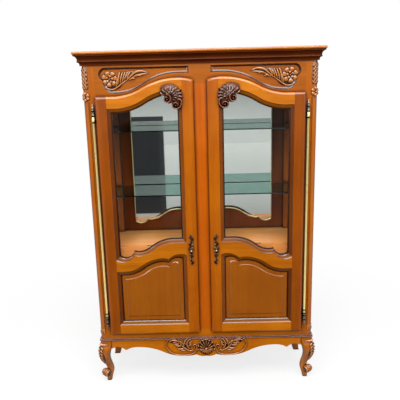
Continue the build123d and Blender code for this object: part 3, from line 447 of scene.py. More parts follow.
# Under the knee leaf lies a broad low bead painted dark: painted shade between the lobes.
carve(work, through((0, 208), (0, 150), (0, 100)), 42, 2.5, on_knee, gouge=0, rings=20, light=-0.8)
carve(work, through((0, 206), (0, 150), (0, 96)), 7, 8, on_knee, gouge=0, rings=20)
for number, level in enumerate((204, 187, 170, 154, 138, 123)):
    spread = 21 - 2.1 * number
    for side in (-1, 1):
        lobe = ((side, level + 2), (side * spread * 0.6, level), (side * spread, level - 15))
        carve(work, through(*lobe), 10 - number * 0.7, 9, on_knee, gouge=0.2, lean=1.3)
cap = ((-26, 216), (-8, 221), (8, 221), (26, 216))
carve(work, through(*cap), 14, 9, on_knee, gouge=0, fullness=0.3, rings=20)

foot_centre = Vector((-534, -132, 49))
foot_axis = Vector((1, -1, 0)).normalized()
foot_front = Vector((-1, -1, 0)).normalized()
roll_radius = 16.5
roll_half = 26


def on_roll(along, round_it, lift):
    """Lays ribs on the foot's scroll, by the place along its axis and the arc round it."""
    radius = roll_radius * max(0.05, 1 - (along / roll_half) ** 4) ** 0.5
    angle = round_it / roll_radius
    spoke = foot_front * cos(angle) + Vector((0, 0, 1)) * sin(angle)
    return foot_centre + foot_axis * along + spoke * (radius + lift)


core = bmesh.ops.create_uvsphere(work, u_segments=32, v_segments=24, radius=1)
for vert in core["verts"]:
    spot = vert.co.copy()
    vert.co = (foot_centre + foot_axis * spot.z * roll_half * 0.98
               + (foot_front * spot.x + Vector((0, 0, 1)) * spot.y) * roll_radius)
# The scroll's core is painted dark between its ribs: painted shade.
for vert in core["verts"]:
    vert[work.verts.layers.float["wear_and_painted_light"]] = -0.8
rib_places = (-20, -10, 0, 10, 20)
for rib in rib_places:
    rib_path = ((rib * 0.8, 40), (rib, 24), (rib, 6), (rib, -14), (rib * 0.8, -34))
    carve(work, through(*rib_path), 7.4, 5, on_roll, gouge=0, fullness=0.4, rings=20)
make_twins(work, "cabriole_leg", carved_leg, "carved_wood", both_on_case, "front_leg")


# Apron ornament: a fluted shell between two acanthus sprays, each held in a long C scroll,
# carved in cherry, glued on, glazed nearly black with painted shade in the hollows, and lighter on the high
# edges by wear and painted highlight.

def on_board(face):
    """Lays carving on an upright board whose face is at that depth."""
    return lambda x, z, lift: (x, face - lift, z)


carved_cherry = lacquered_cherry("carved_lacquered_cherry", "X", "B4601C", "94480C", glaze_and_shade="140300",
                                 reach=0.010, closed=0.45, open_from=0.97, shine=0.7, coat=1.0)
case_face = -144
apron_face = on_board(case_face)
work = bmesh.new()
heel = Vector((0, 186))
# The shell lies on two dark grounds: painted shade behind its ribs.
carve(work, through((-44, 198), (0, 205), (44, 198)), 74, 5, apron_face, gouge=0, fullness=0.5, light=-0.9)
carve(work, through((-34, 170), (0, 164), (34, 170)), 34, 4, apron_face, gouge=0, light=-0.9)
ribs = 8
for rib in range(ribs + 1):
    angle = radians(-4 + 188 * rib / ribs)
    ray = Vector((cos(angle), 1.2 * sin(angle)))
    carve(work, through(heel + ray * 6, heel + ray * 22, heel + ray * 41), 5, 12, apron_face, gouge=0)
    bead = heel + Vector((44 * cos(angle), 52 * sin(angle)))
    carve(work, through(bead - Vector((5, 0)), bead + Vector((5, 0))), 11, 13, apron_face, gouge=0)
for tip in ((-36, 172), (-26, 160), (-13, 153), (0, 150), (13, 153), (26, 160), (36, 172)):
    middle = (heel + Vector(tip)) / 2
    carve(work, through(heel - Vector((0, 6)), middle, tip), 8, 10, apron_face, gouge=0, lean=1.4)
carve(work, through((-10, 187), (10, 187)), 11, 15, apron_face, gouge=0)
sprays = (
    (((-66, 180), (-84, 175), (-104, 184), (-122, 198), (-142, 222)), 9, 8),
    (((-134, 214), (-148, 230), (-168, 237), (-188, 233), (-198, 223)), 9, 9),
    (((-78, 180), (-94, 192), (-101, 214), (-92, 234), (-74, 242)), 9, 9),
    (((-102, 208), (-113, 220), (-110, 236)), 9, 8),
    (((-100, 222), (-108, 234), (-96, 243)), 8, 8),
    (((-98, 200), (-86, 206), (-77, 220)), 10, 8),
    (((-96, 216), (-84, 222), (-72, 234)), 9, 8),
    (((-112, 186), (-130, 186), (-157, 187)), 10, 9),
    (((-104, 180), (-122, 176), (-140, 176)), 8, 7),
    (((-128, 204), (-146, 203), (-164, 208)), 9, 8),
    (((-138, 216), (-154, 214), (-172, 217)), 9, 8),
    (((-118, 196), (-118, 210), (-126, 224)), 9, 8),
    (((-130, 208), (-131, 222), (-142, 234)), 9, 8),
    (((-150, 228), (-160, 226), (-178, 224)), 8, 8),
)
scroll = (
    (-150, 244), (-178, 246), (-200, 236), (-210, 217), (-207, 198), (-193, 175), (-172, 160),
    (-142, 152), (-108, 150), (-79, 154), (-60, 165), (-50, 186), (-51, 203), (-61, 210),
    (-70, 202), (-66, 192), (-58, 194),
)
# The sprays lie on dark grounds: painted shade between their lobes.
grounds = (((-80, 180), (-110, 208), (-96, 242)), ((-96, 182), (-130, 200), (-160, 212)),
           ((-120, 200), (-150, 222), (-192, 228)))
for side in (1, -1):
    for points in grounds:
        mirrored = [(x * side, z) for x, z in points]
        carve(work, through(*mirrored), 26, 2, apron_face, gouge=0, fullness=0.4, light=-0.9)
    for points, width, height in sprays:
        mirrored = [(x * side, z) for x, z in points]
        carve(work, through(*mirrored), width, height + 1, apron_face, gouge=0.1, rings=12)
    mirrored = [(x * side, z) for x, z in scroll]
    carve(work, through(*mirrored), 6.5, 9, apron_face, gouge=0, fullness=0.2, rings=70)
    eye_bead = ((-64 * side, 199), (-58 * side, 199))
    carve(work, through(*eye_bead), 8, 12, apron_face, gouge=0)
bmesh.ops.scale(work, vec=(0.001, 0.001, 0.001), verts=work.verts)
make_piece(work, "apron_shell_and_sprays", carved_cherry, "carved_wood", "case", "apron_carving")
work.free()


# The case: posts with a column between quirks, joined by rails, with panels in grooves.
# The fixed mullion is redder, because its stain took more colour.

dress(cherry_upright, *pair("front_post"), *pair("side_panel"))
dress(cherry_inwards, *pair("side_rails"))
dress(cherry_level, "sill_rail")
# Dark glaze with painted shade lines the walls of the frieze's sunk fields and leaves their floors clear.
sunk_field = ((0, 0), (0.4, 0), (1.4, 0.9), (7.5, 0.9), (7.8, 0.05), (12, 0.05))
cherry_frieze = lacquered_cherry("lacquered_cherry_frieze", "X", "C06804", "AA5802",
                                 face=case_face / 1000, bands=sunk_field)
dress(cherry_frieze, "frieze_rail")
cherry_red = lacquered_cherry("lacquered_cherry_reddish", "Z", "D66800", "C65C00")
dress(cherry_red, "centre_mullion")

# On each front post a lattice, a flower and a small leaf are cut into the rounded corner.
post_arc = 24
post_arc_centre = (-526, -120)


def on_post(along, level, lift):
    """Lays carving on the post: flat on the front, then round its outer corner."""
    if along < 0:
        return post_arc_centre[0] - along, post_arc_centre[1] - post_arc - lift, level
    angle = along / post_arc
    reach = post_arc + lift
    return post_arc_centre[0] - reach * sin(angle), post_arc_centre[1] - reach * cos(angle), level


work = bmesh.new()
lattice_low, lattice_high = 1528, 1628
lattice_left, lattice_right = -5, 37
# The lattice lies on a dark ground: painted shade between its strips.
carve(work, through((16, lattice_low - 4), (16, lattice_high + 3)), 46, 0.8, on_post, gouge=0, fullness=0.06,
      rings=24, light=-0.5)
slope = 1.3
pitch = 19
for direction in (1, -1):
    start = lattice_low - slope * (lattice_right - lattice_left)
    while start < lattice_high:
        low_end = max(lattice_left, lattice_left + (lattice_low - start) / slope)
        high_end = min(lattice_right, lattice_left + (lattice_high - start) / slope)
        if high_end - low_end > 5:
            ends = []
            for along in (low_end, (low_end + high_end) / 2, high_end):
                level = start + slope * (along - lattice_left)
                ends.append((along if direction == 1 else lattice_left + lattice_right - along, level))
            carve(work, through(*ends), 4.6, 4.4, on_post, gouge=0, fullness=0.2, rings=12)
        start += pitch
flower = Vector((13, 1494))
flower_bed = through(flower - Vector((0, 24)), flower + Vector((0, 24)))
# The flower lies on a dark bed: painted shade behind its petals.
carve(work, flower_bed, 44, 1.5, on_post, gouge=0, light=-0.9)
petals = 6
for petal in range(petals):
    angle = radians(90 + 360 * petal / petals)
    ray = Vector((cos(angle), sin(angle)))
    carve(work, through(flower + ray * 4, flower + ray * 13, flower + ray * 23), 17, 9, on_post,
          gouge=0.25, fullness=0.5, lean=1.5)
carve(work, through(flower - Vector((5, 0)), flower + Vector((5, 0))), 10, 12, on_post, gouge=0)
for side in (-1, 0, 1):
    tongue = ((14 + side * 4, 302), (14 + side * 12, 290), (14 + side * 7, 274))
    carve(work, through(*tongue), 11, 5, on_post, gouge=0.4)
carve(work, through((-3, 305), (14, 305), (33, 305)), 6, 4, on_post, gouge=0, fullness=0.2, rings=16)
make_twins(work, "post_carving", carved_leg, "carved_wood", both_on_case)

# In each sunk field of the frieze lies a rosette with an acanthus spray that points inwards.
sunk_by = 8
field = on_board(case_face + sunk_by)
work = bmesh.new()
rosette = Vector((-420, 1573))
# The rosette and spray lie on dark grounds: painted shade between their petals and lobes.
carve(work, through((-458, 1573), (-382, 1573)), 70, 1.5, field, gouge=0, fullness=0.5, light=-0.9)
for points in (((-440, 1538), (-390, 1540), (-352, 1572)), ((-384, 1560), (-340, 1590), (-270, 1596))):
    carve(work, through(*points), 30, 1.5, field, gouge=0, light=-0.9)
for count, first, inner, outer, width, height in ((7, 6, 9, 38, 25, 10), (5, 9, 2, 20, 15, 14)):
    for petal in range(count):
        angle = radians(first + 360 * petal / count)
        ray = Vector((cos(angle), sin(angle)))
        start, end = rosette + ray * inner, rosette + ray * outer
        carve(work, through(start, (start + end) / 2, end), width, height, field,
              gouge=0.3, fullness=0.45, lean=1.6)
carve(work, through(rosette - Vector((5, 0)), rosette + Vector((5, 0))), 10, 15, field, gouge=0)
spray = (
    (((-452, 1545), (-432, 1530), (-404, 1526), (-380, 1540), (-356, 1558), (-330, 1574)), 8, 9),
    (((-348, 1560), (-322, 1584), (-298, 1602), (-268, 1607), (-232, 1595)), 13, 10),
    (((-338, 1565), (-305, 1582), (-270, 1592), (-238, 1593)), 11, 7),
    (((-314, 1579), (-290, 1589), (-267, 1582)), 9, 10),
    (((-334, 1567), (-312, 1575), (-298, 1570)), 9, 10),
    (((-384, 1540), (-378, 1578), (-369, 1610)), 11, 9),
    (((-372, 1548), (-366, 1580), (-357, 1607)), 10, 10),
    (((-362, 1555), (-354, 1582), (-344, 1608)), 10, 9),
    (((-352, 1562), (-343, 1586), (-331, 1604)), 10, 10),
    (((-342, 1568), (-332, 1590), (-319, 1608)), 10, 9),
    (((-392, 1534), (-386, 1560), (-376, 1584)), 9, 9),
)
for points, width, height in spray:
    carve(work, through(*points), width, height, field, gouge=0.15, rings=14)
make_twins(work, "frieze_ornament", carved_cherry, "carved_wood", both_on_case, "frieze_carving")


# The top: a cornice moulding of solid cherry, mitred at the corners, stained much darker and darkened
# further by painted shade, under a board with a rounded nose that overhangs it.

# The dark stain, with painted shade in it, is nearly matt and shows little figure.
dark_shaded_level = lacquered_cherry("dark_stained_and_shaded_cherry_grain_across", "X", "6E2E00", "5A2200",
                              shine=0.15, coat=0.1)
dark_shaded_inwards = lacquered_cherry("dark_stained_and_shaded_cherry_front_to_back", "Y", "6E2E00", "5A2200",
                                shine=0.15, coat=0.1)
dress(cherry_level, "top_board")
dress(dark_shaded_level, "cornice_front")
dress(dark_shaded_inwards, *pair("cornice"))


# The inside: a deck over its front rail, a floor, and a back beyond the mirror, in cherry
# with a satin finish instead of gloss lacquer, fixed between the posts.

# Satin cherry, no wet gloss: paler and pinker on level boards, which is painted light, and dark and brown on
# the back, which is painted shade.
satin = {"shine": 0.06, "coat": 0.0}
lit_inner_level = lacquered_cherry("satin_cherry_grain_across", "X", "E6904C", "D47C3A", glaze_and_shade="4A2008", **satin)
shaded_inner_upright = lacquered_cherry("satin_cherry_grain_upright", "Z", "7A3A14", "60280C",
                                 glaze_and_shade="200800", **satin)
rear_cherry = lacquered_cherry("satin_cherry_rear_posts", "Z", "B45C14", "9A4A0C", glaze_and_shade="200800", **satin)
# A dark line marks the joint near the deck's front edge.
deck_joint = -0.100
deck_cherry = lacquered_cherry("satin_cherry_deck", "X", "EE9C5C", "DC8848", glaze_and_shade="3A1404", **satin,
                               face=deck_joint, bands=((0, 0.9), (1.6, 0.9), (2.2, 0), (12, 0)))
dress(deck_cherry, "display_deck")
dress(lit_inner_level, "deck_rail", "bottom_board")
dress(shaded_inner_upright, "back_panel")
dress(rear_cherry, *pair("rear_post"))

# The mirror: float glass with a silvered back, which hangs on the back panel. It gives a clear
# image, a little grey, with clouds of haze about 330 mm across.
haze_clouds_per_metre = 3.0
mirror_silver = bpy.data.materials.new("silvered_float_glass")
mirror_silver.use_nodes = True
mirror_tree = mirror_silver.node_tree
mirror_tree.nodes.clear()
haze = add(mirror_tree, "ShaderNodeTexNoise", {"Scale": haze_clouds_per_metre, "Detail": 2.0})
haze_tone = add(mirror_tree, "ShaderNodeMix", {
    "Factor": haze.outputs["Fac"], "A": hex_colour("CED0CC"), "B": hex_colour("DCDEDA"),
}, data_type="RGBA")
mirror_shader = add(mirror_tree, "ShaderNodeBsdfPrincipled", {
    "Base Color": haze_tone.outputs["Result"], "Metallic": 1.0, "Roughness": 0.02,
})
add(mirror_tree, "ShaderNodeOutputMaterial", {"Surface": mirror_shader.outputs[0]})
dress(mirror_silver, "mirror_plate")

# A dark card, such as studios use, stands beyond the camera, and the mirror's left half shows
# it there. Its grey felt is matt, with tufts of 2.5 mm.
tufts_per_metre = 400.0
card_width, card_height = 0.38, 1.12
card_place = (-0.63, -3.0, 0.56)
card_cloth = bpy.data.materials.new("grey_felt")
card_cloth.use_nodes = True
card_tree = card_cloth.node_tree
card_tree.nodes.clear()
felt = add(card_tree, "ShaderNodeTexNoise", {"Scale": tufts_per_metre})
felt_tone = add(card_tree, "ShaderNodeMix", {
    "Factor": felt.outputs["Fac"], "A": hex_colour("54565C"), "B": hex_colour("62646A"),
}, data_type="RGBA")
felt_shader = add(card_tree, "ShaderNodeBsdfDiffuse", {"Color": felt_tone.outputs["Result"]})
add(card_tree, "ShaderNodeOutputMaterial", {"Surface": felt_shader.outputs[0]})
card_shape = bmesh.new()
bmesh.ops.create_grid(card_shape, x_segments=1, y_segments=1, size=0.5)
stand_up = Matrix.Rotation(radians(90), 3, "X")
bmesh.ops.rotate(card_shape, cent=(0, 0, 0), matrix=stand_up, verts=card_shape.verts)
bmesh.ops.scale(card_shape, vec=(card_width, 1, card_height), verts=card_shape.verts)
bmesh.ops.translate(card_shape, vec=card_place, verts=card_shape.verts)
card_mesh = bpy.data.meshes.new("black_card")
card_shape.to_mesh(card_mesh)
card_shape.free()
card_mesh.materials.append(card_cloth)
card = bpy.data.objects.new("black_card", card_mesh)
card.visible_camera = False
card.visible_diffuse = False
card.visible_shadow = False
bpy.context.scene.collection.objects.link(card)


def metal(name, colour, shade, roughness, patch, metallic=1.0):
    """A metal with a little tarnish in patches of the given size, bright on cast ridges and dark in their
    hollows, patina with painted shade.
    """
    finish = bpy.data.materials.new(name)
    finish.use_nodes = True
    tree = finish.node_tree
    tree.nodes.clear()
    places = add(tree, "ShaderNodeTexCoord").outputs["Object"]
    tarnish = add(tree, "ShaderNodeTexNoise", {"Vector": places, "Scale": 1 / patch, "Detail": 4.0})
    tone = add(tree, "ShaderNodeMix", {
        "Factor": tarnish.outputs["Fac"], "A": hex_colour(shade), "B": hex_colour(colour),
    }, data_type="RGBA")
    cast = add(tree, "ShaderNodeAttribute", attribute_name="wear_and_painted_light").outputs["Fac"]
    hollow_darkening = add(tree, "ShaderNodeMapRange",
                 {"Value": cast, "From Min": 0.4, "From Max": -0.6, "To Min": 0.0, "To Max": 0.95})
    in_relief = add(tree, "ShaderNodeMath", {0: cast}, operation="ABSOLUTE")
    is_cast = add(tree, "ShaderNodeMath", {0: in_relief.outputs[0], 1: 0.001}, operation="GREATER_THAN")
    dark = add(tree, "ShaderNodeMath", {0: hollow_darkening.outputs[0], 1: is_cast.outputs[0]}, operation="MULTIPLY")
    aged_and_shaded = add(tree, "ShaderNodeMix", {
        "Factor": dark.outputs[0], "A": tone.outputs["Result"], "B": hex_colour("1A1008"),
    }, data_type="RGBA")
    polish = add(tree, "ShaderNodeMapRange",
                 {"Value": tarnish.outputs["Fac"], "To Min": roughness * 1.3, "To Max": roughness * 0.7})
    shader = add(tree, "ShaderNodeBsdfPrincipled", {
        "Base Color": aged_and_shaded.outputs["Result"], "Metallic": metallic, "Roughness": polish.outputs[0],
    })
    add(tree, "ShaderNodeOutputMaterial", {"Surface": shader.outputs[0]})
    return finish


# The mirror's ground bevel follows its shaped edge. To the eye it is a pale, warm line of light,
# so it is drawn as a bright reflector with soft patches of 20 mm.
ground_glass_edge = metal("ground_glass_bevel", "FFF4C0", "E0D49A", 0.35, 0.02)
work = bmesh.new()
mirror_front = 168
mirror_face = on_board(mirror_front)
bevel_runs = (
    ((-374, 1538), (-374, 1170), (-374, 800)),
    ((-374, 800), (-360, 792), (-340, 789), (-318, 797), (-305, 812)),
    ((-305, 812), (-292, 808), (-278, 810), (-236, 828), (-190, 854), (-150, 863), (-70, 864), (0, 864)),
    ((-374, 1538), (-180, 1538), (0, 1538)),
)
for side in (1, -1):
    for run in bevel_runs:
        mirrored = [(x * side, z) for x, z in run]
        carve(work, through(*mirrored), 6, 1.8, mirror_face, gouge=0, fullness=0.08, rings=40)
bmesh.ops.scale(work, vec=(0.001, 0.001, 0.001), verts=work.verts)
make_piece(work, "mirror_bevel", ground_glass_edge, "mirror", "case")
work.free()


# Glass shelves on steel pins: float glass with polished edges, which look green because the
# light there has run along the sheet.

def let_light_through(tree, shader, tint):
    """Glass that casts no black shadow: a shadow ray passes, everything else meets the glass."""
    path = add(tree, "ShaderNodeLightPath")
    passing = add(tree, "ShaderNodeBsdfTransparent", {"Color": hex_colour(tint)})
    both = add(tree, "ShaderNodeMixShader",
               {0: path.outputs["Is Shadow Ray"], 1: shader.outputs[0], 2: passing.outputs[0]})
    return both.outputs[0]


# Clear sea green from above and below, and deep green at the polished edges.
shelf_glass = bpy.data.materials.new("polished_glass_with_green_edges")
shelf_glass.use_nodes = True
shelf_tree = shelf_glass.node_tree
shelf_tree.nodes.clear()
facing = add(shelf_tree, "ShaderNodeTexCoord").outputs["Normal"]
upward = add(shelf_tree, "ShaderNodeSeparateXYZ", {"Vector": facing})
flatness = add(shelf_tree, "ShaderNodeMath", {0: upward.outputs["Z"]}, operation="ABSOLUTE")
edge_tone = add(shelf_tree, "ShaderNodeMix", {
    "Factor": flatness.outputs[0], "A": hex_colour("0C5044"), "B": hex_colour("90CCC0"),
}, data_type="RGBA")
shelf_shader = add(shelf_tree, "ShaderNodeBsdfPrincipled", {
    "Base Color": edge_tone.outputs["Result"], "Roughness": 0.02, "Transmission Weight": 1.0, "IOR": 1.5,
})
shelf_look = let_light_through(shelf_tree, shelf_shader, "D8ECE6")
add(shelf_tree, "ShaderNodeOutputMaterial", {"Surface": shelf_look})
dress(shelf_glass, "lower_glass_shelf", "upper_glass_shelf")
# Zinc plated steel: a dull cool grey, with cloudy patches of 10 mm.
steel = metal("zinc_plated_steel", "C8CACC", "8E9194", 0.35, 0.01)
dress(steel, "shelf_pins")


# The doors: cherry stiles and shaped rails with a moulded inner edge, glazed dark below the
# face with painted shade, mitred at the corners; a raised panel below and a pane held by beads above.

# The outer stiles are coloured darkest and the rails brightest. The moulding's quirks are
# glazed almost black and its beads less, and its last slope darkens towards the glass: dark glaze with
# painted shade.
door_face = -166
face_of_doors = door_face / 1000
middle_of_door = (0.262, 0, 0.93)
moulding = (
    (0, 0), (0.4, 0), (0.9, 0.95), (3.1, 0.95), (3.3, 0.35), (4.1, 0.35), (4.4, 0.95), (6.8, 0.95),
    (7.0, 0.45), (8.6, 0.6), (10.0, 0.9), (11.8, 0.97), (12, 0),
)
moulded = {"face": face_of_doors, "bands": moulding}
facing_in = {**moulded, "opening_side": middle_of_door}
outer_cherry = lacquered_cherry("lacquered_cherry_outer_stiles", "Z", "A85200", "944600", **facing_in)
inner_cherry = lacquered_cherry("lacquered_cherry_inner_stiles", "Z", "C86A00", "B45800", **facing_in)
door_level = lacquered_cherry("lacquered_cherry_rails", "X", "DE8008", "C66C00", **facing_in)
middle_level = lacquered_cherry("lacquered_cherry_middle_rails", "X", "D27804", "B86200", **moulded)
panel_finish = lacquered_cherry("lacquered_cherry_panels", "Z", "AC5E0A", "9E5206", reach=0.007, closed=0.6,
                                open_from=0.97)
for side in ("left_door_", "right_door_"):
    dress(outer_cherry, side + "outer_stile")
    dress(inner_cherry, side + "inner_stile")
    dress(door_level, side + "top_rail", side + "bottom_rail")
    dress(middle_level, side + "middle_rail")
    dress(panel_finish, side + "lower_panel")
    # The glazing beads take the inside's dark upright finish, which is painted shade.
    dress(shaded_inner_upright, side + "glazing_beads")

# Float glass: clear, with ripples 170 mm apart. Its own reflection is held back, because the
# pale studio would lay a white veil over the shelves.
ripples_per_metre = 6.0
clear_glass = bpy.data.materials.new("float_glass")
clear_glass.use_nodes = True
glass_tree = clear_glass.node_tree
glass_tree.nodes.clear()
ripple = add(glass_tree, "ShaderNodeTexNoise", {"Scale": ripples_per_metre, "Detail": 1.0})
ripple_bump = add(glass_tree, "ShaderNodeBump", {"Height": ripple.outputs["Fac"], "Strength": 0.004})
glass_shader = add(glass_tree, "ShaderNodeBsdfPrincipled", {
    "Base Color": hex_colour("FAFDFC"), "Roughness": 0.0, "Transmission Weight": 1.0, "IOR": 1.5,
    "Specular Tint": hex_colour("989898"), "Normal": ripple_bump.outputs[0],
})
glass_look = let_light_through(glass_tree, glass_shader, "F2F8F6")
add(glass_tree, "ShaderNodeOutputMaterial", {"Surface": glass_look})
for side in ("left_door_", "right_door_"):
    dress(clear_glass, side + "glass_pane")

# Over the inner top corner of each pane: a fluted leaf on two scrolls, which hang a little
# over the glass, in a darker and redder glaze than the frame.
dark_carving = lacquered_cherry("dark_carved_cherry", "Z", "84401C", "5E280C", glaze_and_shade="140300",
                                reach=0.010, closed=0.45, open_from=0.97, edges="A8602C",
                                shine=0.7, coat=1.0)
each_on_its_door = ("left_door", "right_door")
face = on_board(door_face)
work = bmesh.new()
backing = (
    (-184, 1526), (-177, 1537), (-160, 1544), (-139, 1546), (-122, 1543), (-109, 1532),
    (-99, 1520), (-93, 1507), (-91, 1493), (-91, 1473), (-88, 1459), (-89, 1447),
    (-98, 1437), (-110, 1433), (-123, 1436), (-130, 1447), (-134, 1459), (-146, 1456),
    (-157, 1460), (-167, 1475), (-168, 1486), (-163, 1496), (-174, 1508),
)
backing_thickness = 8
rim = [work.verts.new((x, door_face + 1, z)) for x, z in backing]
plate = bmesh.ops.extrude_face_region(work, geom=[work.faces.new(rim)])
raised = [part for part in plate["geom"] if isinstance(part, bmesh.types.BMVert)]
bmesh.ops.translate(work, vec=(0, -backing_thickness, 0), verts=raised)
heart = Vector((-136, 1484))
flutes = 10
for flute in range(flutes):
    angle = radians(150 - 172 * flute / (flutes - 1))
    ray = Vector((cos(angle), sin(angle)))
    sideways = Vector((-ray.y, ray.x)) * 7
    start, end = heart + ray * 22, heart + ray * 58
    carve(work, through(start, (start + end) / 2 + sideways, end), 11, 17, face,
          gouge=0.15, fullness=0.5, lean=1.3, light=0.4)
for flute in range(6):
    angle = radians(128 - 140 * flute / 5)
    ray = Vector((cos(angle), sin(angle)))
    sideways = Vector((-ray.y, ray.x)) * 4
    start, end = heart + ray * 6, heart + ray * 34
    carve(work, through(start, (start + end) / 2 + sideways, end), 9, 20, face,
          gouge=0.15, lean=1.4, light=0.4)
upper_scroll = (
    (-186, 1524), (-170, 1516), (-152, 1504), (-140, 1490), (-137, 1476), (-145, 1464), (-158, 1463),
    (-166, 1472), (-164, 1483), (-155, 1487), (-149, 1481),
)
lower_scroll = (
    (-94, 1486), (-88, 1462), (-91, 1446), (-102, 1435), (-117, 1433), (-128, 1441), (-128, 1453),
    (-118, 1460), (-107, 1457), (-103, 1449), (-108, 1442),
)
for scroll in (upper_scroll, lower_scroll):
    carve(work, through(*scroll), 8, 19, face, gouge=0, fullness=0.25, rings=40, light=0.6)
for (x, z), size in (((-154, 1475), 9), ((-115, 1447), 10), ((-132, 1462), 9), ((-122, 1474), 9)):
    carve(work, through((x - size / 2, z), (x + size / 2, z)), size, 19, face, gouge=0)
make_twins(work, "door_rocaille", dark_carving, "carved_wood", each_on_its_door, "door_corner_carving")


# Hinges: turned knuckles and finials with blackened rings, and a long polished tube between
# them that hides the knuckles' pins. The blades are let into the wood.

def spin_round(work, profile, centre):
    """A turned solid from radius and height, about an upright line."""
    dots = [work.verts.new((centre[0] + radius, centre[1], height)) for radius, height in profile]
    lines = [work.edges.new(ends) for ends in zip(dots, dots[1:])]
    bmesh.ops.spin(work, geom=dots + lines, cent=(*centre, 0), axis=(0, 0, 1), angle=2 * pi,
                   steps=28, use_merge=True)
    bmesh.ops.remove_doubles(work, verts=work.verts, dist=0.001)


# The tube is pale brass, a bright straw yellow under lacquer. The finials are nickel silver, grey
# with brown tarnish in patches of 6 mm, and the rings are brass blackened in a bath.
brass = metal("lacquered_pale_brass", "FFEEA6", "F2DC8C", 0.3, 0.03, metallic=0.3)
nickel = metal("tarnished_nickel_silver", "CFC8B4", "5C5448", 0.3, 0.006, metallic=0.7)
black_brass = metal("blackened_brass", "2A2420", "120E0C", 0.45, 0.006)
hinge_line = (-506, -158)
top_joint, bottom_joint = 1402, 373
finial = ((0, 0), (6, 0), (6, 3), (5.4, 4), (5.4, 24), (6.2, 26), (6.2, 29), (4, 31), (3.2, 33), (5.6, 38),
          (5.9, 41), (4.6, 45), (3, 48), (3.6, 50), (2.8, 54), (1.2, 58), (0, 59))
collar = ((0, 0), (6.6, 0), (6.8, 1.5), (6.8, 4.5), (6.6, 6), (0, 6))
work = bmesh.new()
spin_round(work, [(radius, top_joint + height) for radius, height in finial], hinge_line)
spin_round(work, [(radius, bottom_joint - height) for radius, height in finial], hinge_line)
blade_height = 26
blade_room = 28
case_blade = (2, 30, blade_height)
for low in (top_joint, bottom_joint - blade_room):
    plate = bmesh.ops.create_cube(work, size=1)
    bmesh.ops.scale(work, vec=case_blade, verts=plate["verts"])
    blade_place = (hinge_line[0], hinge_line[1] + 17, low + blade_room / 2)
    bmesh.ops.translate(work, vec=blade_place, verts=plate["verts"])
bmesh.ops.scale(work, vec=(0.001, 0.001, 0.001), verts=work.verts)
right_half = bpy.data.meshes.new("right_half")
right_side = work.copy()
bmesh.ops.scale(right_side, vec=(-1, 1, 1), verts=right_side.verts)
right_side.to_mesh(right_half)
work.from_mesh(right_half)
right_side.free()
bpy.data.meshes.remove(right_half)
make_piece(work, "hinge_finials_turned", nickel, "brass", "case", "hinge_finials")
work.free()

work = bmesh.new()
for level in (top_joint + 24, top_joint + 1, bottom_joint - 7, bottom_joint - 30):
    spin_round(work, [(radius, level + height) for radius, height in collar], hinge_line)
make_twins(work, "case_hinge_collars", black_brass, "steel", both_on_case)

work = bmesh.new()
tube = ((0, 373.5), (6, 373.5), (6, 399), (5, 401), (5, 1374), (6, 1376), (6, 1401.5), (0, 1401.5))
spin_round(work, tube, hinge_line)
make_twins(work, "hinge_tube_polished", brass, "brass", each_on_its_door, "door_hinge_tube")

work = bmesh.new()
door_blade = (36, 1.8, blade_height)
for low in (bottom_joint + 0.5, top_joint - 28.5):
    plate = bmesh.ops.create_cube(work, size=1)
    bmesh.ops.scale(work, vec=door_blade, verts=plate["verts"])
    blade_place = (hinge_line[0] + 22, hinge_line[1], low + blade_room / 2)
    bmesh.ops.translate(work, vec=blade_place, verts=plate["verts"])
for level in (396, 1373, 376):
    spin_round(work, [(radius * 0.95, level + height) for radius, height in collar], hinge_line)
make_twins(work, "door_hinge_collars", black_brass, "steel", each_on_its_door)


# Pulls: upright rocaille castings in bronze, toned dark with painted shade and pale on the high points,
# screwed to the closing stiles, with a turned knob in the middle. Behind: a steel rim lock.

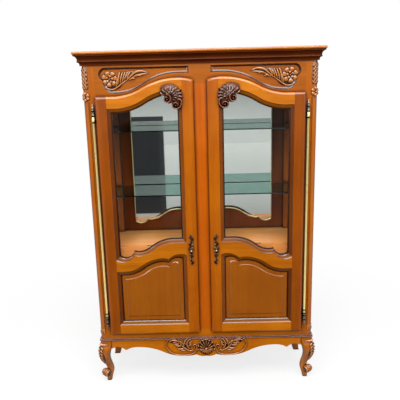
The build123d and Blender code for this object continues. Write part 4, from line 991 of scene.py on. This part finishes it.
# Aged bronze: nearly black brown in the hollows, patina with painted shade, and pale on the high points.
bronze = metal("aged_bronze_casting", "D8C09A", "8A6C48", 0.22, 0.006)
handle_middle = Vector((-62, 738))
work = bmesh.new()
casting = (
    (((-4, 79), (3, 66), (4, 48), (-3, 32), (0, 12)), 8, 6),
    (((-3, 78), (-9, 68), (-4, 58), (2, 54)), 7, 7),
    (((1, 68), (9, 60), (8, 50), (3, 44)), 7, 6),
    (((2, 46), (8, 40), (4, 33)), 7, 8),
    (((-1, 40), (-9, 33), (-8, 24), (-1, 20)), 8, 7),
    (((2, 30), (9, 24), (4, 15)), 7, 6),
    (((0, 16), (-8, 12), (-12, 4), (-9, -4)), 7, 8),
    (((0, 16), (8, 12), (12, 4), (9, -4)), 7, 8),
    (((-9, -2), (-8, -12), (0, -20)), 7, 8),
    (((9, -2), (8, -12), (0, -20)), 7, 8),
    (((0, -12), (3, -32), (-3, -48), (1, -66), (4, -79)), 8, 6),
    (((-1, -18), (-8, -26), (-4, -36)), 7, 7),
    (((2, -24), (8, -32), (2, -40)), 7, 7),
    (((0, -42), (-7, -50), (-1, -58)), 7, 7),
    (((2, -56), (9, -64), (5, -76)), 7, 7),
    (((0, -62), (-3, -72), (4, -80)), 7, 6),
)
# Every other lobe is painted dark and the rest bright: painted shade and painted glints along the casting.
for number, (points, width, height) in enumerate(casting):
    painted_glint_and_shade = -0.3 if number % 2 == 0 else 1.0
    carve(work, through(*[handle_middle + Vector(point) for point in points]), width * 0.75, height, face,
          gouge=0, light=painted_glint_and_shade)
knob = ((0, 0), (6, 0), (5, 2), (3.2, 5), (3.6, 8), (6, 11), (6.6, 14), (5.4, 17), (3, 19.4), (0, 20))
turned_knob = bmesh.new()
spin_round(turned_knob, knob, (0, 0))
knob_drop = 4
bmesh.ops.rotate(turned_knob, cent=(0, 0, 0), matrix=stand_up, verts=turned_knob.verts)
knob_place = (handle_middle.x, door_face, handle_middle.y - knob_drop)
bmesh.ops.translate(turned_knob, vec=knob_place, verts=turned_knob.verts)
knob_mesh = bpy.data.meshes.new("knob")
turned_knob.to_mesh(knob_mesh)
turned_knob.free()
work.from_mesh(knob_mesh)
bpy.data.meshes.remove(knob_mesh)
make_twins(work, "cast_pull", bronze, "aged_bronze", each_on_its_door, "door_pull_handle")
for side in ("left_door_", "right_door_"):
    dress(steel, side + "rim_lock")
